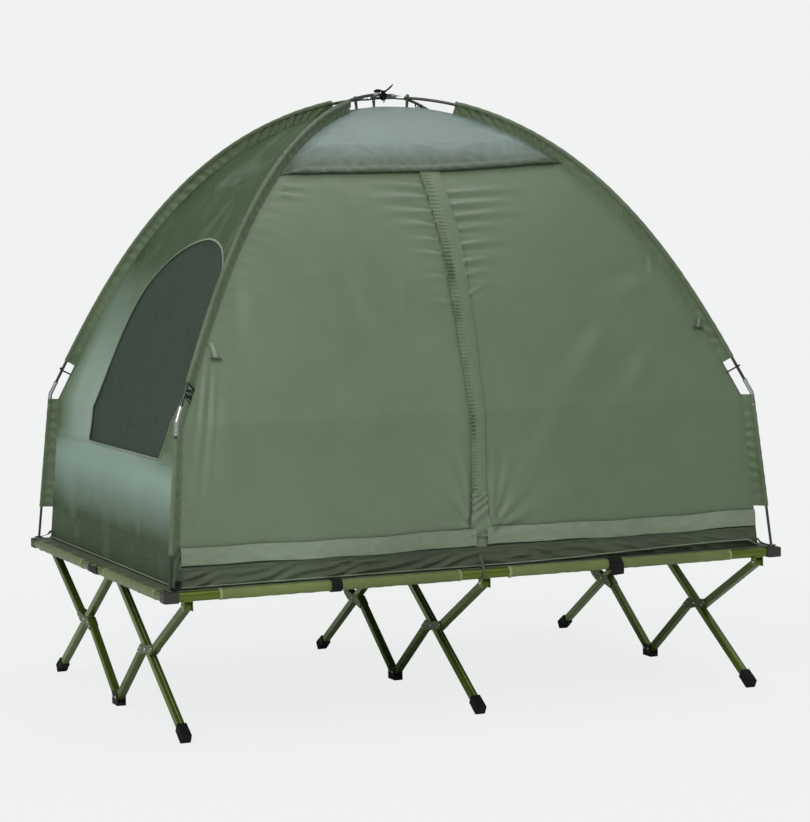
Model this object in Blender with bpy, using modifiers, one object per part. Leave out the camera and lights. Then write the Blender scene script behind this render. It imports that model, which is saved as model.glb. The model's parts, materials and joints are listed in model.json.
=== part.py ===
"""Two-place tent cot: a folding camp bed with a crossed-pole tent standing on it.

Metres, +Z up, +X along the bed, -Y is the door side. The origin is on the floor under the
middle of the bed. Run with blender --background --python part.py or from the text editor.
"""
import math

import bmesh
import bpy
from mathutils import Matrix, Vector

# Clearances and round detail
SEAT_GAP = 0.0003
CUT_OVERRUN = 0.004
WELD_DISTANCE = 0.00003
PIN_SIDES = 10
RIVET_SIDES = 6
RAIL_SIDES = 20
SMOOTH_ANGLE = 30
ROUND_PROFILE_SHARE = 0.5

# Bed, overall
BED_LENGTH = 1.930
RAIL_SPREAD = 0.700
RAIL_HEIGHT = 0.415
RAIL_RADIUS = 0.014
LEG_SET_INSET = 0.027

# End bars and the caps on their ends
END_BAR_WIDTH = 0.045
END_BAR_DEPTH = 0.027
END_BAR_ROUND = 0.011
END_BAR_ROUND_STEPS = 3
END_CAP_LENGTH = 0.036
END_CAP_DEPTH = 0.030
END_CAP_ROUND = 0.004
END_CAP_ROUND_STEPS = 2

# Leg tubes, their pins and hinge blocks
TUBE_SIZE = 0.022
TUBE_EDGE = 0.002
TUBE_END_OVERRUN = 0.006
PIN_RADIUS = 0.003
RIVET_RADIUS = 0.0022
RIVET_HEAD = 0.0012
HINGE_HALF_GAP = 0.013
LOW_PIVOT_HEIGHT = 0.025
TOP_HINGE_DROP = 0.010
BLOCK_WALL = 0.003
BLOCK_WEB = 0.0025
BLOCK_MARGIN = 0.014
BLOCK_EDGE = 0.0015

# Brace halves and the riveted plates that join them past the leg
CROSS_SPREAD = 0.324
BRACE_OFFSET = 0.0225
BRACE_END_INSET = 0.031
PLATE_THICKNESS = 0.0018
PLATE_HALF_WIDTH = 0.009
PLATE_WAIST_HALF = 0.011
PLATE_REACH = 0.038
RIVET_INSET = 0.010
RIVET_PITCH = 0.020

# Rail brackets
BRACKET_WALL = 0.0022
BRACKET_HALF_LENGTH = 0.013
BRACKET_TOP_DROP = 0.005
BRACKET_SLOT_CLEARANCE = 0.001

# Foot caps
SOLE_THICKNESS = 0.006
CAP_WALL = 0.0035
CAP_GRIP = 0.045
CAP_TOE = 0.012
CAP_EDGE = 0.002

# Bed fabric
BED_THICKNESS = 0.002
BED_SAG = 0.004
RAIL_SLEEVE_END_INSET = 0.120
RAIL_SLEEVE_MID_GAP = 0.075
END_SLEEVE_INSET = 0.080
END_SLEEVE_MID_GAP = 0.120
SLEEVE_WRAP_ANGLES = (120, 150, 180, 210, 240, 262)
END_WRAP_ANGLES = (60, 30, 5, -5, -30, -60, -80)

# Tent poles, corner rods and ferrules
POLE_RADIUS = 0.0045
ROD_RADIUS = 0.004
ROD_RISE = 0.463
ROD_STUB = 0.012
ELBOW_INSET = 0.054
POLE_END_ANGLE = 61.3
FERRULE_RADIUS = 0.0062
FERRULE_DROP = 0.038
FERRULE_REACH = 0.045
FERRULE_STEP = 0.0008
POLE_POINTS = 21
PROFILE_STEPS = 240

# Tent fabric
FABRIC = 0.0012
SLEEVE_DEPTH = 0.032
SLEEVE_CLEARANCE = 0.001
TENT_INSET = 0.041
TUB_RISE = 0.058
HIP_INSET = 0.0026
CROWN_SHARE = 0.035
SLEEVE_TOP_SHARE = 0.15
SLEEVE_FOOT_RISE = 0.107
LOWER_SLEEVE_DROP = 0.030
LOWER_SLEEVE_FOOT = 0.100
CANOPY_SHARES = (0.08, 0.22, 0.29, 0.36, 0.44, 0.52, 0.61, 0.70, 0.80)
WALL_COLUMNS = 8

# Front door
EAVE_DROP = 0.198
JAMB_TOP_WIDTH = 0.040
JAMB_FOOT_WIDTH = 0.022
DOOR_LAP = 0.015
DOOR_COLUMNS = 3
ZIP_OFFSET = 0.020
STORM_FLAP_HALF_WIDTH = 0.024
STORM_FLAP_FOOT = 0.030
STORM_FLAP_TOP_DROP = 0.0012
SLIDER_LENGTH = 0.016
SLIDER_HEIGHT = 0.012
SLIDER_DEPTH = 0.005
SLIDER_APART = 0.048
SLIDER_RISE = 0.014
SLIDER_EDGE = 0.0015

# End windows: corners and arch as shares of the wall's half width and of the height from the
# floor of the tent to the poles' crossing
WINDOW_SHARES = (
    (-0.400, 0.250), (-0.372, 0.330), (-0.345, 0.410), (-0.318, 0.490), (-0.275, 0.560),
    (-0.185, 0.630), (-0.060, 0.676), (0.090, 0.697), (0.240, 0.706), (0.360, 0.700),
    (0.640, 0.250),
)
WINDOW_LAP = 0.012
WINDOW_COLUMNS = 6

# Tie at the poles' crossing
TIE_RADIUS = 0.0045
TIE_SPREAD = 0.022
TIE_RISE = 0.016
TIE_BEND_SHARES = (-1.0, -0.45, 0.0, 0.45, 1.0)
TIE_RISE_SHARES = (1.0, 0.35, 0.0, 0.45, 0.8)

# Sizes worked out from those above
HALF_LENGTH = BED_LENGTH / 2
BAR_X = HALF_LENGTH - END_BAR_WIDTH / 2
RAIL_HALF_LENGTH = HALF_LENGTH - END_BAR_WIDTH - SEAT_GAP
LEG_SET_PITCH = HALF_LENGTH - END_BAR_WIDTH - LEG_SET_INSET
TUBE_HALF = TUBE_SIZE / 2
CORNER_REACH = math.hypot(TUBE_HALF, TUBE_END_OVERRUN)
TOP_PIVOT_HEIGHT = RAIL_HEIGHT - TOP_HINGE_DROP
CROSS_HEIGHT = (LOW_PIVOT_HEIGHT + TOP_PIVOT_HEIGHT) / 2
RAIL_PIVOT_HEIGHT = RAIL_HEIGHT - RAIL_RADIUS - CORNER_REACH - 2 * SEAT_GAP
SLOT_HALF = TUBE_HALF + SEAT_GAP
BED_UNDERSIDE = RAIL_HEIGHT + RAIL_RADIUS + SEAT_GAP
TUB_FLOOR = BED_UNDERSIDE + BED_THICKNESS + SEAT_GAP
TUB_TOP = TUB_FLOOR + TUB_RISE
CAP_TOP = RAIL_HEIGHT + END_CAP_DEPTH / 2
ROD_FOOT_RADIUS = math.hypot(BAR_X, RAIL_SPREAD)
ROD_FOOT_HEIGHT = CAP_TOP + SEAT_GAP
ALONG = BAR_X / ROD_FOOT_RADIUS
ACROSS = RAIL_SPREAD / ROD_FOOT_RADIUS
ELBOW_RADIUS = ROD_FOOT_RADIUS - ELBOW_INSET
ELBOW_HEIGHT = ROD_FOOT_HEIGHT + ROD_RISE
TENT_CORNER = ROD_FOOT_RADIUS - TENT_INSET
POLE_LIFT = POLE_RADIUS + SEAT_GAP / 2

SETS = {"left": -LEG_SET_PITCH, "middle": 0.0, "right": LEG_SET_PITCH}
SIDES = {"near": -1, "far": 1}
ENDS = {"left": -1, "right": 1}

COLOURS = {
    "olive_tube": ((0.170, 0.225, 0.050), 0.38, 0.55),
    "black_plastic": ((0.018, 0.018, 0.018), 0.55, 0.0),
    "black_rubber": ((0.012, 0.012, 0.012), 0.75, 0.0),
    "bed_cloth": ((0.090, 0.125, 0.055), 0.70, 0.0),
    "tent_cloth": ((0.140, 0.185, 0.115), 0.55, 0.0),
    "tub_cloth": ((0.085, 0.115, 0.075), 0.60, 0.0),
    "window_net": ((0.060, 0.080, 0.065), 0.85, 0.0),
    "pole_cloth": ((0.030, 0.045, 0.020), 0.45, 0.1),
    "steel": ((0.600, 0.610, 0.600), 0.30, 1.0),
}


def clear_scene():
    """Remove every object that the file opened with."""
    for old in list(bpy.data.objects):
        bpy.data.objects.remove(old, do_unlink=True)


def make_collection(name):
    """A collection linked to the scene."""
    made = bpy.data.collections.new(name)
    bpy.context.scene.collection.children.link(made)
    return made


def material(name):
    """The named finish as a Principled material, made once."""
    if name in bpy.data.materials:
        return bpy.data.materials[name]
    colour, roughness, metallic = COLOURS[name]
    made = bpy.data.materials.new(name)
    made.use_nodes = True
    shader = made.node_tree.nodes["Principled BSDF"]
    shader.inputs["Base Color"].default_value = (*colour, 1.0)
    shader.inputs["Roughness"].default_value = roughness
    shader.inputs["Metallic"].default_value = metallic
    return made


def world_place(obj):
    """World place of an object whose parents are plain empties."""
    place = Vector(obj.location)
    while obj.parent is not None:
        obj = obj.parent
        place += Vector(obj.location)
    return place


def place(obj, at, turn=(0, 0, 0), parent=None):
    """Put an object at a world place, under a parent empty if it has one."""
    obj.rotation_euler = turn
    obj.location = at
    if parent is not None:
        obj.parent = parent
        obj.location = Vector(at) - world_place(parent)
    return obj


def joint_empty(name, at, parent=None):
    """An empty that stands on a joint's axis and carries what turns there."""
    empty = bpy.data.objects.new(name, None)
    PARTS.objects.link(empty)
    return place(empty, at, parent=parent)


def new_part(name, mesh, finish, at=(0, 0, 0), turn=(0, 0, 0), parent=None):
    """A named sub-part with its finish."""
    mesh.materials.clear()
    mesh.materials.append(material(finish))
    obj = bpy.data.objects.new(name, mesh)
    PARTS.objects.link(obj)
    return place(obj, at, turn, parent)


def new_cutter(name, mesh, like):
    """A helper solid for a Boolean, placed as the part that it cuts or joins."""
    obj = bpy.data.objects.new(name, mesh)
    CUTTERS.objects.link(obj)
    place(obj, world_place(like), tuple(like.rotation_euler))
    obj.hide_render = True
    obj.display_type = "WIRE"
    return obj


def boolean(part, helper, operation, self_crossing=False):
    """Join or cut a part with a helper solid."""
    step = part.modifiers.new(operation.title(), "BOOLEAN")
    step.operation = operation
    step.solver = "EXACT"
    step.use_self = self_crossing
    step.object = helper
    return step


def bevel(part, width, segments=1):
    """Rounded or chamfered edges."""
    step = part.modifiers.new("Edges", "BEVEL")
    step.width = width
    step.segments = segments
    step.limit_method = "ANGLE"
    return step


def solidify(part, thickness, outward=False):
    """Give an open surface its thickness."""
    step = part.modifiers.new("Thickness", "SOLIDIFY")
    step.thickness = thickness
    step.offset = 1 if outward else -1
    step.use_even_offset = True
    return step


def mesh_from(name, shape):
    """Turn a bmesh into a mesh."""
    mesh = bpy.data.meshes.new(name)
    shape.to_mesh(mesh)
    shape.free()
    return mesh


def add_box(shape, low, high):
    """Add a box between two corners."""
    low, high = Vector(low), Vector(high)
    made = bmesh.ops.create_cube(shape, size=1)["verts"]
    bmesh.ops.scale(shape, vec=high - low, verts=made)
    bmesh.ops.translate(shape, vec=(high + low) / 2, verts=made)


def add_pin(shape, at, radius, half_length, sides=PIN_SIDES):
    """Add a pin along X."""
    turned = Matrix.Translation(at) @ Matrix.Rotation(math.radians(90), 4, "Y")
    bmesh.ops.create_cone(
        shape, cap_ends=True, segments=sides, radius1=radius, radius2=radius,
        depth=2 * half_length, matrix=turned)


def add_bore(shape, along, radius, sides):
    """Add a cross hole whose flats clear a pin of the given radius."""
    clear = (radius + SEAT_GAP) / math.cos(math.pi / sides)
    add_pin(shape, (0, along, 0), clear, TUBE_HALF + CUT_OVERRUN, sides)


def box_mesh(name, low, high):
    """A single box."""
    shape = bmesh.new()
    add_box(shape, low, high)
    return mesh_from(name, shape)


def pins_mesh(name, places, radius, half_length):
    """Pins along X at the given places."""
    shape = bmesh.new()
    for spot in places:
        add_pin(shape, spot, radius, half_length)
    return mesh_from(name, shape)


def mesh_of_curve(curve_object):
    """The welded mesh of a curve object, which is then removed."""
    bpy.context.view_layer.update()
    seen = curve_object.evaluated_get(bpy.context.evaluated_depsgraph_get())
    mesh = bpy.data.meshes.new_from_object(seen)
    shape = bmesh.new()
    shape.from_mesh(mesh)
    bmesh.ops.remove_doubles(shape, verts=shape.verts, dist=WELD_DISTANCE)
    shape.to_mesh(mesh)
    shape.free()
    bpy.data.objects.remove(curve_object, do_unlink=True)
    return mesh


def outline_mesh(name, points, half_thickness):
    """A flat outline in the YZ plane with its thickness along X."""
    curve = bpy.data.curves.new(name, "CURVE")
    curve.dimensions = "2D"
    curve.fill_mode = "BOTH"
    curve.extrude = half_thickness
    spline = curve.splines.new("POLY")
    spline.points.add(len(points) - 1)
    for point, (y, z) in zip(spline.points, points):
        point.co = (y, z, 0, 1)
    spline.use_cyclic_u = True
    holder = bpy.data.objects.new(name, curve)
    PARTS.objects.link(holder)
    mesh = mesh_of_curve(holder)
    upright = Matrix(((0, 0, 1), (1, 0, 0), (0, 1, 0))).to_4x4()
    mesh.transform(upright)
    return mesh


def merge_into(shape, mesh, shift=(0, 0, 0)):
    """Add a mesh to a bmesh, shifted."""
    mesh.transform(Matrix.Translation(shift))
    shape.from_mesh(mesh)
    mesh.transform(Matrix.Translation(-Vector(shift)))


def wire(name, points, radius, finish, radii=None, parent=None, at=(0, 0, 0)):
    """A round bar along points given about the object's own place."""
    curve = bpy.data.curves.new(name, "CURVE")
    curve.dimensions = "3D"
    curve.bevel_depth = radius
    curve.bevel_resolution = 2
    curve.use_fill_caps = True
    spline = curve.splines.new("POLY")
    spline.points.add(len(points) - 1)
    for index, spot in enumerate(points):
        spline.points[index].co = (*spot, 1)
        spline.points[index].radius = radii[index] if radii else 1
    curve.materials.append(material(finish))
    obj = bpy.data.objects.new(name, curve)
    PARTS.objects.link(obj)
    return place(obj, at, parent=parent)


def direction(start, end):
    """Unit direction and distance between two points of a YZ plane."""
    span = Vector(end) - Vector(start)
    return span.normalized(), span.length


def leg_points(side):
    """Pivots and brace ends of one half of a leg set, as (y, z)."""
    low = Vector((side * HINGE_HALF_GAP, LOW_PIVOT_HEIGHT))
    top = Vector((side * HINGE_HALF_GAP, TOP_PIVOT_HEIGHT))
    cross = Vector((side * CROSS_SPREAD, CROSS_HEIGHT))
    rail = Vector((side * RAIL_SPREAD, RAIL_PIVOT_HEIGHT))
    down = (low - cross).normalized()
    inward_up = Vector((-down.y * side, down.x * side))
    if inward_up.y < 0:
        inward_up = -inward_up
    lower_end = cross + inward_up * BRACE_OFFSET + down * BRACE_END_INSET
    upper_end = cross - inward_up * BRACE_OFFSET - down * BRACE_END_INSET
    return {"low": low, "top": top, "cross": cross, "rail": rail,
            "lower_end": lower_end, "upper_end": upper_end}


def spot(x, point):
    """A (y, z) point of a leg set's plane in the world."""
    return Vector((x, point.x, point.y))


def bar_turn(along):
    """Rotation that lays an object's own Y along a direction of the YZ plane."""
    return (math.atan2(along.y, along.x), 0, 0)


def square_tube(name, at, along, start, end, pins, rivets, parent):
    """A square tube along its own Y from start to end, with cross holes for pins and rivets."""
    low = (-TUBE_HALF, start, -TUBE_HALF)
    high = (TUBE_HALF, end, TUBE_HALF)
    part = new_part(name, box_mesh(name, low, high), "olive_tube", at, bar_turn(along), parent)
    bevel(part, TUBE_EDGE)
    bores = bmesh.new()
    for pin in pins:
        add_bore(bores, pin, PIN_RADIUS, PIN_SIDES)
    for rivet in rivets:
        add_bore(bores, rivet, RIVET_RADIUS, RIVET_SIDES)
    boolean(part, new_cutter(name + "_holes", mesh_from(name + "_holes", bores), part),
            "DIFFERENCE")
    return part


def build_leg(prefix, x, side, joint):
    """The leg that runs from the outer foot to the middle top hinge, and its foot cap."""
    p = leg_points(side)
    up, reach = direction(p["cross"], p["top"])
    drop, spread = abs(up.y), abs(up.x)
    foot = (CROSS_HEIGHT - spread * TUBE_HALF - SOLE_THICKNESS) / drop
    square_tube(prefix + "_leg", spot(x, p["cross"]), up, -foot, reach + TUBE_END_OVERRUN,
                (0, reach), (), joint)
    build_foot_cap(prefix + "_foot_cap", spot(x, p["cross"]), up, foot, joint)


def build_foot_cap(name, at, along, foot, joint):
    """Rubber shoe on a leg's end, cut flat where it stands on the floor."""
    outer = TUBE_HALF + SEAT_GAP + CAP_WALL
    inner = TUBE_HALF + SEAT_GAP
    mesh = box_mesh(name, (-outer, -foot - CAP_TOE, -outer), (outer, -foot + CAP_GRIP, outer))
    cap = new_part(name, mesh, "black_rubber", at, bar_turn(along), joint)
    bevel(cap, CAP_EDGE)
    socket = box_mesh(name + "_socket", (-inner, -foot - SEAT_GAP, -inner),
                      (inner, -foot + CAP_GRIP + CUT_OVERRUN, inner))
    boolean(cap, new_cutter(name + "_socket", socket, cap), "DIFFERENCE")
    floor = box_mesh(name + "_floor", (-outer - CUT_OVERRUN, -foot, -CAP_GRIP),
                     (outer + CUT_OVERRUN, foot, 0))
    cutter = new_cutter(name + "_floor", floor, cap)
    cutter.location = (at.x, at.y, 0)
    cutter.rotation_euler = (0, 0, math.pi) if along.x < 0 else (0, 0, 0)
    boolean(cap, cutter, "DIFFERENCE")


def rivet_places(tip):
    """Distances of a brace half's two rivets along it from the given end."""
    return (tip + RIVET_INSET, tip + RIVET_INSET + RIVET_PITCH)


def build_brace(prefix, x, side, joint):
    """The brace in two halves, the upper one carrying the plates and the crossing pin."""
    p = leg_points(side)
    lower_way, lower_length = direction(p["low"], p["lower_end"])
    upper_way, upper_length = direction(p["rail"], p["upper_end"])
    lower_rivets = [lower_length - place_at for place_at in rivet_places(0)]
    upper_rivets = [upper_length - place_at for place_at in rivet_places(0)]
    square_tube(prefix + "_brace_lower", spot(x, p["low"]), lower_way, -TUBE_END_OVERRUN,
                lower_length, (0,), lower_rivets, joint)
    upper = square_tube(prefix + "_brace_upper", spot(x, p["rail"]), upper_way,
                        -TUBE_END_OVERRUN, upper_length, (0,), (), joint)
    lower_spots = [p["low"] + lower_way * along for along in lower_rivets]
    upper_spots = [p["rail"] + upper_way * along for along in upper_rivets]
    add_plates(prefix, x, upper, p, lower_way, upper_way, lower_spots + upper_spots)


def add_plates(prefix, x, upper, p, lower_way, upper_way, rivets):
    """Join the riveted plates, the rivets and the crossing pin to the upper half."""
    middle_way = direction(p["lower_end"], p["upper_end"])[0]
    waist = Vector((-middle_way.y, middle_way.x)) * PLATE_WAIST_HALF
    outline = []
    for end, way in (("lower_end", lower_way), ("upper_end", upper_way)):
        side = Vector((-way.y, way.x)) * PLATE_HALF_WIDTH
        if side.dot(p[end] - p["cross"]) < 0:
            side = -side
        if waist.dot(side) < 0:
            waist = -waist
        far = p[end] - way * PLATE_REACH
        outline += [p["cross"] + waist, p[end] + side, far + side, far - side]
    inner = SLOT_HALF
    outer = inner + PLATE_THICKNESS
    plates = outline_mesh(prefix + "_plates", outline, PLATE_THICKNESS / 2)
    shape = bmesh.new()
    merge_into(shape, plates, ((inner + outer) / 2, 0, 0))
    merge_into(shape, plates, (-(inner + outer) / 2, 0, 0))
    for rivet in rivets:
        add_pin(shape, (0, rivet.x, rivet.y), RIVET_RADIUS, outer + RIVET_HEAD, RIVET_SIDES)
    add_pin(shape, (0, p["cross"].x, p["cross"].y), PIN_RADIUS, outer + RIVET_HEAD)
    helper = new_cutter(prefix + "_plates", mesh_from(prefix + "_plates", shape), upper)
    helper.location = (x, 0, 0)
    helper.rotation_euler = (0, 0, 0)
    boolean(upper, helper, "UNION", self_crossing=True)


def build_hinge_block(name, x, height, web, upside_down, parent):
    """A forked plastic block with the two pins of a middle hinge."""
    half_y = HINGE_HALF_GAP + BLOCK_MARGIN
    outer_x = SLOT_HALF + BLOCK_WALL
    reach = CORNER_REACH + SEAT_GAP
    low = (-outer_x, -half_y, -reach - web)
    high = (outer_x, half_y, BLOCK_MARGIN)
    slot_low = (-SLOT_HALF, -half_y - CUT_OVERRUN, -reach)
    slot_high = (SLOT_HALF, half_y + CUT_OVERRUN, BLOCK_MARGIN + CUT_OVERRUN)
    turn = (math.pi, 0, 0) if upside_down else (0, 0, 0)
    block = new_part(name, box_mesh(name, low, high), "black_plastic", (x, 0, height), turn,
                     parent)
    bevel(block, BLOCK_EDGE)
    slot = new_cutter(name + "_slot", box_mesh(name + "_slot", slot_low, slot_high), block)
    boolean(block, slot, "DIFFERENCE")
    places = [(0, -HINGE_HALF_GAP, 0), (0, HINGE_HALF_GAP, 0)]
    pins = pins_mesh(name + "_pins", places, PIN_RADIUS, outer_x + RIVET_HEAD)
    boolean(block, new_cutter(name + "_pins", pins, block), "UNION")


def build_rail_bracket(name, x, side, parent):
    """A saddle under the rail that holds the brace's upper end on a pin."""
    y = side * RAIL_SPREAD
    outer_x = SLOT_HALF + BRACKET_WALL
    above = RAIL_HEIGHT - BRACKET_TOP_DROP - RAIL_PIVOT_HEIGHT
    low = (-outer_x, -BRACKET_HALF_LENGTH, -BRACKET_HALF_LENGTH)
    high = (outer_x, BRACKET_HALF_LENGTH, above)
    bracket = new_part(name, box_mesh(name, low, high), "olive_tube", (x, y, RAIL_PIVOT_HEIGHT),
                       parent=parent)
    rail_above = RAIL_HEIGHT - RAIL_PIVOT_HEIGHT
    rail = bmesh.new()
    add_pin(rail, (0, 0, rail_above), RAIL_RADIUS + SEAT_GAP, outer_x + CUT_OVERRUN, RAIL_SIDES)
    boolean(bracket, new_cutter(name + "_rail", mesh_from(name + "_rail", rail), bracket),
            "DIFFERENCE")
    slot_top = CORNER_REACH + BRACKET_SLOT_CLEARANCE
    slot = box_mesh(name + "_slot",
                    (-SLOT_HALF, -BRACKET_HALF_LENGTH - CUT_OVERRUN,
                     -BRACKET_HALF_LENGTH - CUT_OVERRUN),
                    (SLOT_HALF, BRACKET_HALF_LENGTH + CUT_OVERRUN, slot_top))
    boolean(bracket, new_cutter(name + "_slot", slot, bracket), "DIFFERENCE")
    pin = pins_mesh(name + "_pin", [(0, 0, 0)], PIN_RADIUS, outer_x + RIVET_HEAD)
    boolean(bracket, new_cutter(name + "_pin", pin, bracket), "UNION")


def build_rail(name, side, parent):
    """A side rail along the bed."""
    shape = bmesh.new()
    add_pin(shape, (0, 0, 0), RAIL_RADIUS, RAIL_HALF_LENGTH, RAIL_SIDES)
    rail = new_part(name, mesh_from(name, shape), "olive_tube",
                    (0, side * RAIL_SPREAD, RAIL_HEIGHT), parent=parent)
    rail.data.shade_smooth()
    rail.data.set_sharp_from_angle(angle=math.radians(SMOOTH_ANGLE))


def build_end_bar(name, end):
    """The flattened bar across one end of the bed, with a cap on each of its ends."""
    half = END_BAR_WIDTH / 2
    bar_half_y = RAIL_SPREAD
    at = (end * BAR_X, 0, RAIL_HEIGHT)
    mesh = box_mesh(name, (-half, -bar_half_y, -END_BAR_DEPTH / 2),
                    (half, bar_half_y, END_BAR_DEPTH / 2))
    bar = new_part(name, mesh, "olive_tube", at)
    bevel(bar, END_BAR_ROUND, END_BAR_ROUND_STEPS)
    shape = bmesh.new()
    for side in SIDES.values():
        middle = side * RAIL_SPREAD
        add_box(shape, (-half, middle - END_CAP_LENGTH / 2, -END_CAP_DEPTH / 2),
                (half, middle + END_CAP_LENGTH / 2, END_CAP_DEPTH / 2))
    long_edges = [edge for edge in shape.edges
                  if abs(edge.verts[0].co.y - edge.verts[1].co.y) > END_CAP_ROUND]
    bmesh.ops.bevel(shape, geom=long_edges, offset=END_CAP_ROUND,
                    segments=END_CAP_ROUND_STEPS, affect="EDGES", profile=ROUND_PROFILE_SHARE)
    caps = new_cutter(name + "_caps", mesh_from(name + "_caps", shape), bar)
    boolean(bar, caps, "UNION")


def build_frame():
    """Both rails, the three leg sets and the end bars, under their joints' empties."""
    rails = {}
    braces = {}
    for side_name, side in SIDES.items():
        p = leg_points(side)
        brace = joint_empty("middle_" + side_name + "_brace_joint", spot(0, p["low"]))
        rail = joint_empty(side_name + "_rail_joint", spot(0, p["rail"]), brace)
        braces["middle", side_name] = brace
        rails[side_name] = rail
        build_rail(side_name + "_rail", side, rail)
    for set_name, x in SETS.items():
        for side_name, side in SIDES.items():
            prefix = set_name + "_" + side_name
            p = leg_points(side)
            brace = braces.get((set_name, side_name))
            if brace is None:
                brace = joint_empty(prefix + "_brace_joint", spot(x, p["rail"]),
                                    rails[side_name])
            leg = joint_empty(prefix + "_leg_joint", spot(x, p["cross"]), brace)
            build_brace(prefix, x, side, brace)
            build_leg(prefix, x, side, leg)
            build_rail_bracket(prefix + "_rail_bracket", x, side, rails[side_name])
        web = LOW_PIVOT_HEIGHT - CORNER_REACH - SEAT_GAP
        build_hinge_block(set_name + "_low_hinge_block", x, LOW_PIVOT_HEIGHT, web, False, None)
        build_hinge_block(set_name + "_top_hinge_block", x, TOP_PIVOT_HEIGHT, BLOCK_WEB, True,
                          None)
    for end_name, end in ENDS.items():
        build_end_bar(end_name + "_end_bar", end)


def sheet_object(name, grid, present, finish, at=(0, 0, 0), turn=(0, 0, 0), flip=False):
    """An open surface through a grid of points, with a face where present says so."""
    shape = bmesh.new()
    corners = {}
    for i, row in enumerate(grid[:-1]):
        for j in range(len(row) - 1):
            if not present(i, j):
                continue
            ring = [(i, j), (i + 1, j), (i + 1, j + 1), (i, j + 1)]
            for key in ring:
                if key not in corners:
                    corners[key] = shape.verts.new(grid[key[0]][key[1]])
            face = [corners[key] for key in ring]
            shape.faces.new(face[::-1] if flip else face)
    return new_part(name, mesh_from(name, shape), finish, at, turn)


def rail_wrap(side):
    """Points of the fabric sleeve round a rail, from the rail's top outwards and under."""
    half_step = math.radians(SLEEVE_WRAP_ANGLES[1] - SLEEVE_WRAP_ANGLES[0]) / 2
    radius = (RAIL_RADIUS + 2 * SEAT_GAP) / math.cos(half_step)
    points = []
    for angle in SLEEVE_WRAP_ANGLES:
        turn = math.radians(angle)
        points.append((side * (RAIL_SPREAD - radius * math.cos(turn)),
                       RAIL_HEIGHT + radius * math.sin(turn)))
    return points


def end_wrap(end):
    """Points of the fabric sleeve round an end bar, from its inner edge outwards and under."""
    half_step = math.radians(END_WRAP_ANGLES[0] - END_WRAP_ANGLES[1]) / 2
    radius = (END_BAR_ROUND + 2 * SEAT_GAP) / math.cos(half_step)
    centre = HALF_LENGTH - END_BAR_ROUND
    rise = END_BAR_DEPTH / 2 - END_BAR_ROUND
    points = [(end * centre, BED_UNDERSIDE)]
    for angle in END_WRAP_ANGLES:
        turn = math.radians(angle)
        level = RAIL_HEIGHT + (rise if angle > 0 else -rise)
        points.append((end * (centre + radius * math.cos(turn)), level + radius * math.sin(turn)))
    return points


def build_bed():
    """The bed's cloth with its sleeves round the rails and end bars."""
    inner = RAIL_HALF_LENGTH
    sleeve = HALF_LENGTH - END_BAR_WIDTH - RAIL_SLEEVE_END_INSET
    gap = RAIL_SLEEVE_MID_GAP
    middle_x = [-inner, -sleeve, -gap, gap, sleeve, inner]
    end_x = [(x, None) for x in middle_x]
    stations_x = end_wrap(-1)[::-1] + end_x + end_wrap(1)
    half = RAIL_SPREAD
    sleeve_y = RAIL_SPREAD - END_SLEEVE_INSET
    hand = END_SLEEVE_MID_GAP
    plain_y = [(y, None) for y in (-half, -sleeve_y, -hand, hand, sleeve_y, half)]
    stations_y = rail_wrap(-1)[::-1] + plain_y + rail_wrap(1)
    wraps_x = len(end_wrap(1))
    wraps_y = len(SLEEVE_WRAP_ANGLES)
    grid = []
    for x, x_height in stations_x:
        row = []
        for y, y_height in stations_y:
            height = BED_UNDERSIDE
            if x_height is not None:
                height = x_height
            elif y_height is not None:
                height = y_height
            elif abs(x) < inner:
                height -= BED_SAG * (1 - (y / half) ** 2)
            row.append((x, y, height))
        grid.append(row)

    def present(i, j):
        """Whether the cloth covers this cell of the grid."""
        in_end = i < wraps_x or i >= wraps_x + len(middle_x) - 1
        in_rail = j < wraps_y or j >= wraps_y + len(plain_y) - 1
        if in_end and in_rail:
            return False
        if in_end:
            return j - wraps_y in (1, 3)
        if in_rail:
            return i - wraps_x in (1, 3)
        return True

    bed = sheet_object("bed_fabric", grid, present, "bed_cloth")
    solidify(bed, BED_THICKNESS, outward=True)


def make_profile():
    """The pole's curve and the tent's hip line under it, in the diagonal upright plane.

    The pole is a bent rod pinned at its elbows, so its slope goes as a sine of the distance
    along it. Each step holds the share of that distance and the points of pole, hip and the
    sleeve's outer edge, as distance from the tent's middle and height.
    """
    slopes = [math.radians(POLE_END_ANGLE) * math.sin(math.pi / 2 * step / PROFILE_STEPS)
              for step in range(PROFILE_STEPS + 1)]
    out, fall = [0.0], [0.0]
    for before, after in zip(slopes, slopes[1:]):
        out.append(out[-1] + (math.cos(before) + math.cos(after)) / 2)
        fall.append(fall[-1] + (math.sin(before) + math.sin(after)) / 2)
    scale = ELBOW_RADIUS / out[-1]
    steps = []
    for index, slope in enumerate(slopes):
        radius = scale * out[index]
        height = ELBOW_HEIGHT + scale * (fall[-1] - fall[index])
        inward = Vector((-math.sin(slope), -math.cos(slope)))
        pole = Vector((radius, height))
        steps.append({"share": index / PROFILE_STEPS, "pole": pole,
                      "hip": pole + inward * SLEEVE_DEPTH,
                      "edge": pole + inward * (POLE_RADIUS + SLEEVE_CLEARANCE)})
    return steps


def between(low, high, share):
    """Value part way between two others."""
    return low + (high - low) * share


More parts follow.
